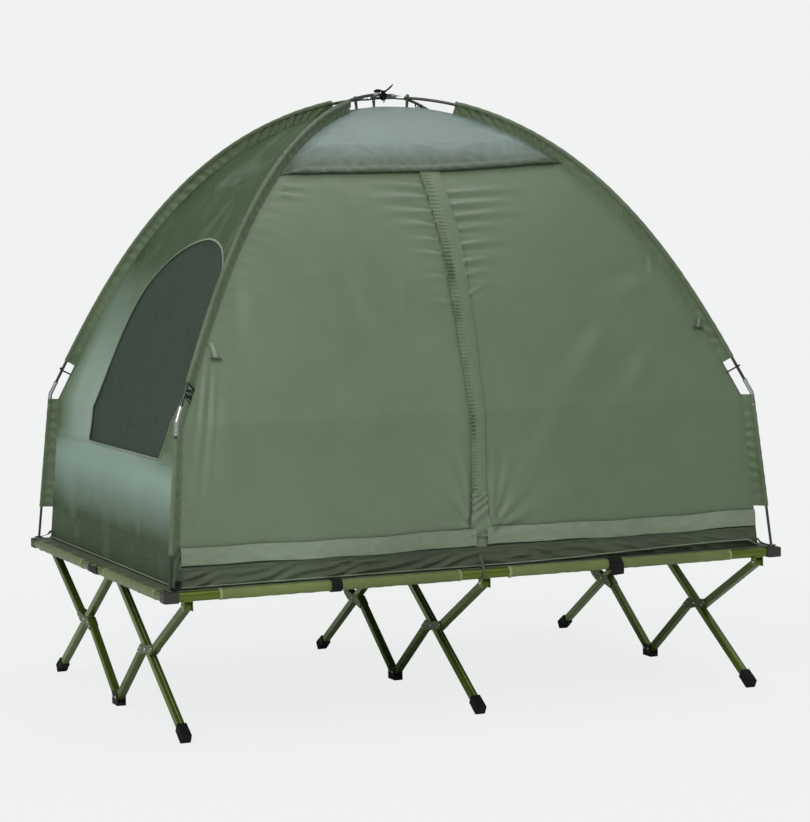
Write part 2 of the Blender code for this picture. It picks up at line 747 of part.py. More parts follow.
def hip_row(height):
    """Hip and sleeve edge at a height of the hip line: (radius, edge radius, edge height, share)."""
    elbow = PROFILE[-1]
    if height <= elbow["hip"].y:
        part = (height - TUB_FLOOR) / (elbow["hip"].y - TUB_FLOOR)
        radius = between(TENT_CORNER, elbow["hip"].x, part)
        rod_part = (height - ROD_FOOT_HEIGHT) / (ELBOW_HEIGHT - ROD_FOOT_HEIGHT)
        rod = between(ROD_FOOT_RADIUS, ELBOW_RADIUS, rod_part)
        return radius, rod - ROD_RADIUS - SLEEVE_CLEARANCE, height, 1.0
    for upper, lower in zip(PROFILE, PROFILE[1:]):
        if lower["hip"].y <= height <= upper["hip"].y:
            part = (height - upper["hip"].y) / (lower["hip"].y - upper["hip"].y)
            hip = upper["hip"].lerp(lower["hip"], part)
            edge = upper["edge"].lerp(lower["edge"], part)
            return hip.x, edge.x, edge.y, between(upper["share"], lower["share"], part)
    top = PROFILE[0]
    return top["hip"].x, top["edge"].x, top["edge"].y, 0.0


def share_height(share):
    """Height of the hip line at a share of the pole's half length."""
    return PROFILE[round(share * PROFILE_STEPS)]["hip"].y


def canopy_heights():
    """Rows of the canopy walls from the crown down to the tub."""
    return sorted(
        {CROWN_HEIGHT, SLEEVE_TOP, SLEEVE_FOOT, LOWER_SLEEVE_TOP, LOWER_SLEEVE_BOTTOM,
         EAVE_HEIGHT, DOOR_HEAD, STORM_FOOT, NET_HEAD, NET_FOOT, TUB_TOP + SEAT_GAP,
         *[share_height(share) for share in CANOPY_SHARES]},
        reverse=True)


def heights_between(low, high):
    """The canopy's rows from one of its heights down to another."""
    return [height for height in canopy_heights() if low <= height <= high]


def inset_rows(heights, out_share, depth):
    """Rows moved inwards, square to a wall that goes out by out_share of the hip's radius."""
    rows = []
    points = [Vector((hip_row(height)[0] * out_share, height)) for height in heights]
    for index, point in enumerate(points):
        before = points[max(index - 1, 0)]
        after = points[min(index + 1, len(points) - 1)]
        along = (after - before).normalized()
        inward = Vector((along.y, -along.x))
        rows.append(point + inward * depth)
    return rows


def spread(count, low, high):
    """Evenly spaced values from low to high."""
    return [between(low, high, step / count) for step in range(count + 1)]


def build_end_wall(name, turn):
    """An end wall with the pole sleeves at both its edges and a window hole."""
    heights = canopy_heights()
    grid = []
    for height in heights:
        radius, edge_radius, edge_height, share = hip_row(height)
        lift = POLE_LIFT * (1 - share)
        half = radius * ACROSS
        out = -radius * ALONG
        edge_half = edge_radius * ACROSS
        edge_out = -edge_radius * ALONG
        row = [(-edge_half, edge_out, edge_height - lift)]
        row += [(u, out, height) for u in spread(WALL_COLUMNS, -half, half)]
        row.append((edge_half, edge_out, edge_height + lift))
        grid.append(row)

    def present(i, j):
        """The sleeves stop at the crown, the elbow and above the bed."""
        if 0 < j < WALL_COLUMNS + 1:
            return True
        upper, lower = heights[i], heights[i + 1]
        on_pole = SLEEVE_TOP >= upper and lower >= SLEEVE_FOOT
        on_rod = LOWER_SLEEVE_TOP >= upper and lower >= LOWER_SLEEVE_BOTTOM
        return on_pole or on_rod

    wall = sheet_object(name, grid, present, "tent_cloth", turn=turn)
    solidify(wall, FABRIC)
    boolean(wall, window_prism(name + "_window", wall, 0), "DIFFERENCE")


def window_height(share):
    """Height at a share of the rise from the tent's floor to the poles' crossing."""
    return between(TUB_FLOOR, PROFILE[0]["pole"].y, share)


def window_points(lap):
    """Outline of an end window, grown by a lap all round, as (across, height)."""
    half = TENT_CORNER * ACROSS
    points = [Vector((u * half, window_height(v))) for u, v in WINDOW_SHARES]
    if lap == 0:
        return points
    grown = []
    for index, point in enumerate(points):
        before = (point - points[index - 1]).normalized()
        after = (points[(index + 1) % len(points)] - point).normalized()
        outward = Vector((-before.y - after.y, before.x + after.x)).normalized()
        grown.append(point + outward * lap)
    return grown


def window_prism(name, like, lap):
    """A prism of the window's outline that runs out through the wall."""
    points = window_points(lap)
    mesh = outline_mesh(name, points, TENT_CORNER)
    mesh.transform(Matrix.Rotation(math.radians(-90), 4, "Z"))
    shape = bmesh.new()
    shape.from_mesh(mesh)
    for vert in shape.verts:
        vert.co.y = min(vert.co.y, 0)
    bmesh.ops.recalc_face_normals(shape, faces=shape.faces)
    shape.to_mesh(mesh)
    shape.free()
    return new_cutter(name, mesh, like)


def build_window_net(name, turn):
    """The net behind an end window, a lap larger than its hole."""
    heights = heights_between(NET_FOOT, NET_HEAD)
    rows = inset_rows(heights, ALONG, FABRIC + 2 * SEAT_GAP)
    grid = []
    for height, row in zip(heights, rows):
        half = hip_row(height)[0] * ACROSS - HIP_INSET
        grid.append([(u, -row.x, row.y) for u in spread(WINDOW_COLUMNS, -half, half)])
    net = sheet_object(name, grid, lambda i, j: True, "window_net", turn=turn)
    solidify(net, FABRIC)
    boolean(net, window_prism(name + "_outline", net, WINDOW_LAP), "INTERSECT")


def build_back_wall():
    """The back wall, one plain panel between the hips."""
    grid = []
    for height in canopy_heights():
        radius = hip_row(height)[0]
        half = radius * ALONG - HIP_INSET
        grid.append([(x, -radius * ACROSS, height) for x in spread(WALL_COLUMNS, -half, half)])
    wall = sheet_object("back_wall", grid, lambda i, j: True, "tent_cloth",
                        turn=(0, 0, math.pi))
    solidify(wall, FABRIC)


def jamb_inner(height):
    """Distance of the door's side edge from the middle, along a straight line up the wall."""
    top = hip_row(EAVE_HEIGHT)[0] * ALONG - JAMB_TOP_WIDTH
    foot = hip_row(TUB_TOP)[0] * ALONG - JAMB_FOOT_WIDTH
    if height >= EAVE_HEIGHT:
        return hip_row(height)[0] / hip_row(EAVE_HEIGHT)[0] * top
    return between(foot, top, (height - TUB_TOP) / (EAVE_HEIGHT - TUB_TOP))


def build_front_canopy():
    """Crown, front roof panel down to its eave, and the two fixed sides of the door."""
    heights = canopy_heights()
    crown_radius = hip_row(CROWN_HEIGHT)[0]
    rows = [(crown_radius * ACROSS - 2 * SEAT_GAP, CROWN_HEIGHT)]
    rows += [(-hip_row(height)[0] * ACROSS, height) for height in heights]
    grid = []
    for y, height in rows:
        half = hip_row(height)[0] * ALONG - HIP_INSET
        inner = min(jamb_inner(height), half)
        grid.append([(x, y, height) for x in
                     (-half, *spread(2 * DOOR_COLUMNS, -inner, inner), half)])
    last = len(grid[0]) - 2

    def present(i, j):
        """Roof above the eave, sides of the door below it."""
        return rows[i + 1][1] >= EAVE_HEIGHT or j in (0, last)

    canopy = sheet_object("front_canopy", grid, present, "tent_cloth")
    solidify(canopy, FABRIC)


def build_door_flap(name, side):
    """One half of the door, lapping under the eave and the door's side."""
    heights = heights_between(TUB_TOP, DOOR_HEAD)
    rows = inset_rows(heights, ACROSS, FABRIC + 2 * SEAT_GAP)
    grid = []
    for height, row in zip(heights, rows):
        outer = jamb_inner(min(height, EAVE_HEIGHT)) + DOOR_LAP
        inner = ZIP_OFFSET + side * SEAT_GAP
        if side < 0:
            columns = spread(DOOR_COLUMNS, -outer, inner)
        else:
            columns = spread(DOOR_COLUMNS, inner, outer)
        grid.append([(x, -row.x, row.y) for x in columns])
    flap = sheet_object(name, grid, lambda i, j: True, "tent_cloth")
    solidify(flap, FABRIC)


def build_storm_flap():
    """The band over the door's middle zip."""
    heights = heights_between(STORM_FOOT, EAVE_HEIGHT)
    rows = inset_rows(heights, ACROSS, 0)
    rows[0] += (rows[1] - rows[0]).normalized() * STORM_FLAP_TOP_DROP
    grid = []
    for row in rows:
        grid.append([(x, -row.x, row.y) for x in
                     spread(2, ZIP_OFFSET - STORM_FLAP_HALF_WIDTH,
                            ZIP_OFFSET + STORM_FLAP_HALF_WIDTH)])
    band = sheet_object("storm_flap", grid, lambda i, j: True, "tent_cloth")
    solidify(band, FABRIC)


def build_zip_slider(name, side):
    """A slider on the zip along the door's foot."""
    height = TUB_TOP + SLIDER_RISE
    out = hip_row(height - SLIDER_HEIGHT / 2)[0] * ACROSS - FABRIC - SEAT_GAP + SLIDER_DEPTH / 2
    at = (ZIP_OFFSET + side * SLIDER_APART, -out, height)
    half = Vector((SLIDER_LENGTH, SLIDER_DEPTH, SLIDER_HEIGHT)) / 2
    slider = new_part(name, box_mesh(name, -half, half), "steel", at)
    bevel(slider, SLIDER_EDGE)


def build_tub():
    """The tent's floor with its low turned-up sides."""
    shape = bmesh.new()
    made = bmesh.ops.create_cube(shape, size=1)["verts"]
    top_radius = hip_row(TUB_TOP)[0]
    for vert in made:
        top = vert.co.z > 0
        radius = top_radius if top else TENT_CORNER
        vert.co = Vector((math.copysign(radius * ALONG, vert.co.x),
                          math.copysign(radius * ACROSS, vert.co.y),
                          TUB_TOP if top else TUB_FLOOR))
    half_rise = TUB_FLOOR + TUB_RISE / 2
    lid = [face for face in shape.faces if min(vert.co.z for vert in face.verts) > half_rise]
    bmesh.ops.delete(shape, geom=lid, context="FACES")
    tub = new_part("tent_floor_tub", mesh_from("tent_floor_tub", shape), "tub_cloth")
    solidify(tub, FABRIC)


def diagonal(radius, height, corner):
    """World place of a point in one corner's upright diagonal plane."""
    return Vector((corner[0] * radius * ALONG, corner[1] * radius * ACROSS, height))


def build_pole(name, corner, lift):
    """One bent pole from elbow to elbow through the crown."""
    end = PROFILE[-1]["pole"]
    last = end + (PROFILE[-2]["pole"] - end).normalized() * (FERRULE_REACH + SEAT_GAP)
    inside = [step for step in PROFILE if step["pole"].x < last.x]
    half = []
    for index in range(POLE_POINTS):
        step = inside[round(index * (len(inside) - 1) / (POLE_POINTS - 1))]
        half.append((step["pole"].x, step["pole"].y + lift * (1 - step["share"])))
    half[-1] = (last.x, last.y)
    opposite = (-corner[0], -corner[1])
    points = [diagonal(radius, height, opposite) for radius, height in half[:0:-1]]
    points += [diagonal(radius, height, corner) for radius, height in half]
    wire(name, points, POLE_RADIUS, "pole_cloth")


def build_corner_rod(name, corner):
    """The upright rod at a corner with the angled ferrule that takes the pole."""
    foot = Vector((ROD_FOOT_RADIUS, ROD_FOOT_HEIGHT))
    elbow = PROFILE[-1]["pole"]
    stub = foot + Vector((0, ROD_STUB))
    upward = (elbow - stub).normalized()
    along_pole = (PROFILE[-2]["pole"] - elbow).normalized()
    start = elbow - upward * FERRULE_DROP
    mouth = elbow + along_pole * FERRULE_REACH
    outline = [foot, stub, start, start + upward * FERRULE_STEP, elbow, mouth]
    swell = FERRULE_RADIUS / ROD_RADIUS
    radii = [1, 1, 1, swell, swell, swell]
    at = diagonal(foot.x, foot.y, corner)
    points = [diagonal(point.x, point.y, corner) - at for point in outline]
    wire(name, points, ROD_RADIUS, "steel", radii, at=at)


def build_crossing_tie():
    """The knotted tie over the poles' crossing."""
    top = PROFILE[0]["pole"].y + POLE_LIFT + POLE_RADIUS + SEAT_GAP + TIE_RADIUS
    points = [Vector((along * TIE_SPREAD, 0, rise * TIE_RISE))
              for along, rise in zip(TIE_BEND_SHARES, TIE_RISE_SHARES)]
    wire("crossing_tie", points, TIE_RADIUS, "pole_cloth", at=(0, 0, top))


def build_tent():
    """The canopy, door, floor, poles and rods."""
    corners = {"near_left": (-1, -1), "far_left": (-1, 1), "near_right": (1, -1),
               "far_right": (1, 1)}
    build_tub()
    build_front_canopy()
    build_back_wall()
    for end_name, end in ENDS.items():
        turn = (0, 0, end * math.pi / 2)
        build_end_wall(end_name + "_end_wall", turn)
        build_window_net(end_name + "_window_net", turn)
        build_door_flap(end_name + "_door_flap", end)
        build_zip_slider(end_name + "_zip_slider", end)
    build_storm_flap()
    build_pole("pole_over", corners["far_right"], POLE_LIFT)
    build_pole("pole_under", corners["near_right"], -POLE_LIFT)
    for corner_name, corner in corners.items():
        build_corner_rod(corner_name + "_corner_rod", corner)
    build_crossing_tie()


clear_scene()
PARTS = make_collection("tent_cot")
CUTTERS = make_collection("tent_cot_cutters")
PROFILE = make_profile()
CROWN_HEIGHT = share_height(CROWN_SHARE)
EAVE_HEIGHT = PROFILE[0]["hip"].y - EAVE_DROP
SLEEVE_TOP = share_height(SLEEVE_TOP_SHARE)
SLEEVE_FOOT = PROFILE[-1]["hip"].y + SLEEVE_FOOT_RISE
LOWER_SLEEVE_TOP = PROFILE[-1]["hip"].y - LOWER_SLEEVE_DROP
LOWER_SLEEVE_BOTTOM = TUB_FLOOR + LOWER_SLEEVE_FOOT
DOOR_HEAD = EAVE_HEIGHT + DOOR_LAP
STORM_FOOT = TUB_TOP + STORM_FLAP_FOOT
NET_FOOT = window_height(min(share for _, share in WINDOW_SHARES)) - 2 * WINDOW_LAP
NET_HEAD = window_height(max(share for _, share in WINDOW_SHARES)) + 2 * WINDOW_LAP
build_frame()
build_bed()
build_tent()
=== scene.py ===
"""The looks of a tent cot: a small tent on a folding camp bed.

The folding frame keeps its solid parts, which get their finishes here. The tent's cloth, its
sleeves, poles and trimmings and the bed's cloth are modelled as separate pieces. Every length is
in metres, with +X to the right, +Y away from the viewer and +Z up.
"""

import json
import logging
import math
import random
from dataclasses import dataclass, field
from enum import Enum
from typing import Any, Dict, List, Optional, Sequence, Tuple, Union

import bpy
import numpy as np
from mathutils import Matrix, Vector, noise


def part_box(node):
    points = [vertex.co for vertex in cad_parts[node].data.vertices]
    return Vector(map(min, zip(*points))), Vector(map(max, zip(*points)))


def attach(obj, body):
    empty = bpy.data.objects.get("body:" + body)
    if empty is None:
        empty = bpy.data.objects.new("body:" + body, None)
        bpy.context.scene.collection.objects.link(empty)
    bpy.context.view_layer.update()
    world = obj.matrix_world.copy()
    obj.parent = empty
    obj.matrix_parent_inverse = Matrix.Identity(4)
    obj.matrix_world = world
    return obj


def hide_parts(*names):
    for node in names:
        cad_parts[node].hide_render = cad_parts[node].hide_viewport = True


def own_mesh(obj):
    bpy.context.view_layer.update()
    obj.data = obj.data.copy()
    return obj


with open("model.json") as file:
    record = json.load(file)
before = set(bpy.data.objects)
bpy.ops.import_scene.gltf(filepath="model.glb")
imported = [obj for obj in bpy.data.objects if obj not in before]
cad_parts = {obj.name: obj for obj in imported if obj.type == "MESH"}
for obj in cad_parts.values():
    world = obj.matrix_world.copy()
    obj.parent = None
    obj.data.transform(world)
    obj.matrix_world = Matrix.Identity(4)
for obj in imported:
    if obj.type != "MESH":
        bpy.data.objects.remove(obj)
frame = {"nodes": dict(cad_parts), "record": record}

logging.basicConfig(level=logging.INFO, format="%(message)s")
log = logging.getLogger("tent_cot")

UP = np.array((0.0, 0.0, 1.0))
Colour = Tuple[float, float, float]
Numbers = Union[float, Sequence[float], np.ndarray]


def tint(code: str) -> Colour:
    """Turn a colour written as six hexadecimal digits into linear red, green and blue.

    Args:
        code: The colour as a screen shows it.

    Returns:
        The linear colour.
    """
    parts = [int(code[at:at + 2], 16) / 255 for at in (0, 2, 4)]
    return tuple(part / 12.92 if part <= 0.04045 else ((part + 0.055) / 1.055) ** 2.4
                 for part in parts)


@dataclass(frozen=True)
class Value:
    """A number socket that can stand in sums, each of which adds a Math node."""

    board: "NodeBoard"
    socket: bpy.types.NodeSocket

    def __add__(self, other: Any) -> "Value":
        """Add to this value."""
        return self.board.math("ADD", self, other)

    __radd__ = __add__

    def __sub__(self, other: Any) -> "Value":
        """Take away from this value."""
        return self.board.math("SUBTRACT", self, other)

    def __rsub__(self, other: Any) -> "Value":
        """Take this value from another."""
        return self.board.math("SUBTRACT", other, self)

    def __mul__(self, other: Any) -> "Value":
        """Multiply this value."""
        return self.board.math("MULTIPLY", self, other)

    __rmul__ = __mul__

    def __gt__(self, other: Any) -> "Value":
        """One where this value is the larger, else zero."""
        return self.board.math("GREATER_THAN", self, other)

    def __lt__(self, other: Any) -> "Value":
        """One where this value is the smaller, else zero."""
        return self.board.math("LESS_THAN", self, other)

    def __abs__(self) -> "Value":
        """The size of this value."""
        return self.board.math("ABSOLUTE", self)

    def sine(self) -> "Value":
        """The sine of this value."""
        return self.board.math("SINE", self)


class NodeBoard:
    """The node tree of a material or the world, with short ways to add nodes."""

    def __init__(self, owner: Union[bpy.types.Material, bpy.types.World]) -> None:
        """Empty the node tree of a new material or world.

        Args:
            owner: The material or world.
        """
        self.owner = owner
        owner.use_nodes = True
        self.tree = owner.node_tree
        self.tree.nodes.clear()

    @classmethod
    def start(cls, name: str) -> "NodeBoard":
        """Start an empty material of the given name."""
        return cls(bpy.data.materials.new(name))

    def add(self, kind: str, settings: Optional[Dict[str, Any]] = None,
            inputs: Optional[Dict[Any, Any]] = None) -> bpy.types.Node:
        """Add a node.

        Args:
            kind: The node's type.
            settings: Values of the node itself, set before its sockets.
            inputs: Values or links of its sockets, by name or number.

        Returns:
            The new node.
        """
        node = self.tree.nodes.new(kind)
        for key, value in (settings or {}).items():
            setattr(node, key, value)
        for key, value in (inputs or {}).items():
            self.feed(node.inputs[key], value)
        return node

    def feed(self, socket: bpy.types.NodeSocket, value: Any) -> None:
        """Link or set one socket.

        Args:
            socket: The socket that takes the value.
            value: A Value, a socket, a number or a colour.
        """
        if isinstance(value, Value):
            value = value.socket
        if isinstance(value, bpy.types.NodeSocket):
            self.tree.links.new(value, socket)
        elif socket.type == "RGBA":
            socket.default_value = (*value, 1.0)
        else:
            socket.default_value = value

    def math(self, operation: str, first: Any, second: Any = None) -> Value:
        """Add a Math node.

        Args:
            operation: The node's operation.
            first: Its first value.
            second: Its second value, where it has one.

        Returns:
            The node's result.
        """
        inputs = {0: first} if second is None else {0: first, 1: second}
        node = self.add("ShaderNodeMath", {"operation": operation}, inputs)
        return Value(self, node.outputs[0])

    def place(self) -> Tuple[bpy.types.NodeSocket, Value, Value, Value]:
        """Read the surface's place on the object.

        Returns:
            The whole place, then its three numbers.
        """
        whole = self.add("ShaderNodeTexCoord").outputs["Object"]
        split = self.add("ShaderNodeSeparateXYZ", None, {0: whole})
        return (whole, *(Value(self, split.outputs[at]) for at in range(3)))

    def stretched(self, vector: bpy.types.NodeSocket, scale: Colour) -> bpy.types.NodeSocket:
        """Multiply a vector by a scale for each axis."""
        settings = {"operation": "MULTIPLY"}
        return self.add("ShaderNodeVectorMath", settings, {0: vector, 1: scale}).outputs[0]

    def noise(self, vector: bpy.types.NodeSocket, scale: float, detail: float = 3.0,
              warp: float = 0.0) -> Value:
        """Add noise between zero and one.

        Args:
            vector: The place that the noise is read at.
            scale: How many cells a metre has.
            detail: How many finer layers are added.
            warp: How far the noise bends its own pattern.

        Returns:
            The noise.
        """
        inputs = {"Vector": vector, "Scale": scale, "Detail": detail, "Distortion": warp}
        return Value(self, self.add("ShaderNodeTexNoise", None, inputs).outputs[0])

    def blend(self, mask: Any, first: Any, second: Any) -> bpy.types.NodeSocket:
        """Mix two colours.

        Args:
            mask: How much of the second colour shows.
            first: The first colour.
            second: The second colour.

        Returns:
            The mixed colour.
        """
        settings = {"data_type": "RGBA", "clamp_factor": True}
        return self.add("ShaderNodeMix", settings, {0: mask, 6: first, 7: second}).outputs[2]

    def bump(self, height: Value, distance: float) -> bpy.types.NodeSocket:
        """Turn a height into a normal, where one unit stands so many metres proud."""
        return self.add("ShaderNodeBump", None, {"Height": height, "Distance": distance}).outputs[0]

    def close(self, shader: bpy.types.NodeSocket, kind: str = "ShaderNodeOutputMaterial") -> Any:
        """Show a shader on the surface, and return the material or world."""
        self.add(kind, None, {"Surface": shader})
        return self.owner


@dataclass(frozen=True)
class ClothFinish:
    """Woven, coated cloth: its colours, weave, small creases and sheen, with painted shade and
    highlights on the creases and painted light gradients across it.
    """

    name: str
    slot: str
    colour: Colour
    # shade and bright are the darker and lighter tones of the random patches; they also give the
    # painted shade in crease valleys and the painted highlights on crease ridges.
    shade: Colour
    bright: Colour
    roughness: float = 0.5
    coat: float = 0.0
    sheen: float = 0.25
    weave_pitch: float = 0.0016
    weave_depth: float = 0.00006
    crease_scale: float = 14.0
    crease_depth: float = 0.0016
    crease_run: Colour = (1.0, 1.0, 1.0)
    specular: float = 0.45
    # Painted light: each fade is an axis, where it starts and ends, and the colour of painted shade or
    # painted reflection that it reaches.
    painted_light_fades: Tuple[Tuple[int, float, float, Colour], ...] = ()

    def material(self) -> bpy.types.Material:
        """Build the finish's material.

        Returns:
            The new material.
        """
        board = NodeBoard.start(self.name)
        whole, x, y, z = board.place()
        turn = 2 * math.pi / self.weave_pitch
        weave = (x * turn).sine() + (y * turn).sine() + (z * turn).sine()
        run = board.stretched(whole, self.crease_run)
        creases = board.noise(run, self.crease_scale, 5.0, 0.6)
        patches = board.noise(whole, 2.3, 2.0, 0.3)
        flecks = board.noise(whole, 260.0, 2.0)
        base = board.blend((patches - 0.36) * 2.6, self.shade, self.bright)
        base = board.blend(0.65, base, self.colour)
        # Painted light: each fade blends in painted shade or painted reflection along one axis of the
        # object.
        for axis, start, end, far in self.painted_light_fades:
            base = board.blend(((x, y, z)[axis] - start) * (1 / (end - start)), base, far)
        # Painted shade in the crease valleys and painted highlights on the crease ridges.
        base = board.blend((creases - 0.5) * 0.6, base, self.bright)
        base = board.blend((0.5 - creases) * 0.6, base, self.shade)
        base = board.blend(flecks * 0.12 + weave * 0.02, base, self.shade)
        height = weave * (self.weave_depth / self.crease_depth) + creases
        inputs = {"Base Color": base, "Roughness": self.roughness + (patches - 0.5) * 0.16,
                  "Normal": board.bump(height, self.crease_depth),
                  "Specular IOR Level": self.specular,
                  "Sheen Weight": self.sheen, "Sheen Roughness": 0.45,
                  "Coat Weight": self.coat, "Coat Roughness": 0.38}
        return board.close(board.add("ShaderNodeBsdfPrincipled", None, inputs).outputs[0])


@dataclass(frozen=True)
class SolidFinish:
    """Metal, plastic or rubber: its colours, grain, scratches and gloss."""

    name: str
    slot: str
    colour: Colour
    worn: Colour
    metallic: float = 0.0
    roughness: float = 0.5
    grain_scale: float = 700.0
    grain_depth: float = 0.0001
    grain_run: Colour = (1.0, 1.0, 1.0)
    wear: float = 0.25
    coat: float = 0.0
    specular: float = 0.5
    cap_from: Optional[float] = None
    plate_sets: Tuple[float, ...] = ()
    plate_from: float = 0.0112
    dark: Colour = (0.012, 0.012, 0.012)

    def material(self) -> bpy.types.Material:
        """Build the finish's material.

        Returns:
            The new material.
        """
        board = NodeBoard.start(self.name)
        whole, x, y, _ = board.place()
        run = board.stretched(whole, self.grain_run)
        grain = board.noise(run, self.grain_scale, 3.0)
        clouds = board.noise(whole, 9.0, 3.0, 0.4)
        rubs = board.noise(board.stretched(whole, (1.0, 0.25, 0.25)), 70.0, 4.0, 0.8)
        base = board.blend((clouds - 0.5) * self.wear + (rubs > 0.66) * 0.35 * self.wear,
                           self.colour, self.worn)
        base = board.blend((grain - 0.55) * 0.25, base, self.worn)
        metallic: Any = self.metallic
        roughness: Any = self.roughness + (clouds - 0.5) * 0.12 + (rubs > 0.66) * 0.03
        if self.cap_from is not None:
            cap = abs(y) > self.cap_from
            base = board.blend(cap, base, self.dark)
            metallic = (1 - cap) * self.metallic
            roughness = roughness + cap * 0.15
        for centre in self.plate_sets:
            plate = (abs(x - centre) > self.plate_from) * (abs(x - centre) < 0.05)
            base = board.blend(plate, base, self.dark)
        inputs = {"Base Color": base, "Metallic": metallic, "Roughness": roughness,
                  "Normal": board.bump(grain, self.grain_depth),
                  "Specular IOR Level": self.specular,
                  "Coat Weight": self.coat, "Coat Roughness": 0.25}
        return board.close(board.add("ShaderNodeBsdfPrincipled", None, inputs).outputs[0])


@dataclass(frozen=True)
class NetFinish:
    """A fine net of threads with open cells."""

    name: str
    slot: str
    colour: Colour
    pitch: float = 0.0024
    cover: float = -0.45

    def material(self) -> bpy.types.Material:
        """Build the net's material, whose open cells are see-through.

        Returns:
            The new material.
        """
        board = NodeBoard.start(self.name)
        whole, _, y, z = board.place()
        turn = 2 * math.pi / self.pitch
        level = (z * turn).sine()
        upright = (y * turn).sine()
        threads = board.math("MAXIMUM", level, upright)
        clouds = board.noise(whole, 5.0, 2.0)
        specks = board.noise(whole, 130.0, 3.0)
        base = board.blend((clouds - 0.45) * 1.2, self.colour, tuple(c * 0.7 for c in self.colour))
        base = board.blend((specks - 0.5) * 2.4, base, tuple(c * 1.9 for c in self.colour))
        base = board.blend((0.5 - specks) * 2.0, base, tuple(c * 0.4 for c in self.colour))
        inputs = {"Base Color": base, "Roughness": 0.6, "Specular IOR Level": 0.25,
                  "Alpha": threads > self.cover,
                  "Normal": board.bump(threads, 0.0002)}
        return board.close(board.add("ShaderNodeBsdfPrincipled", None, inputs).outputs[0])


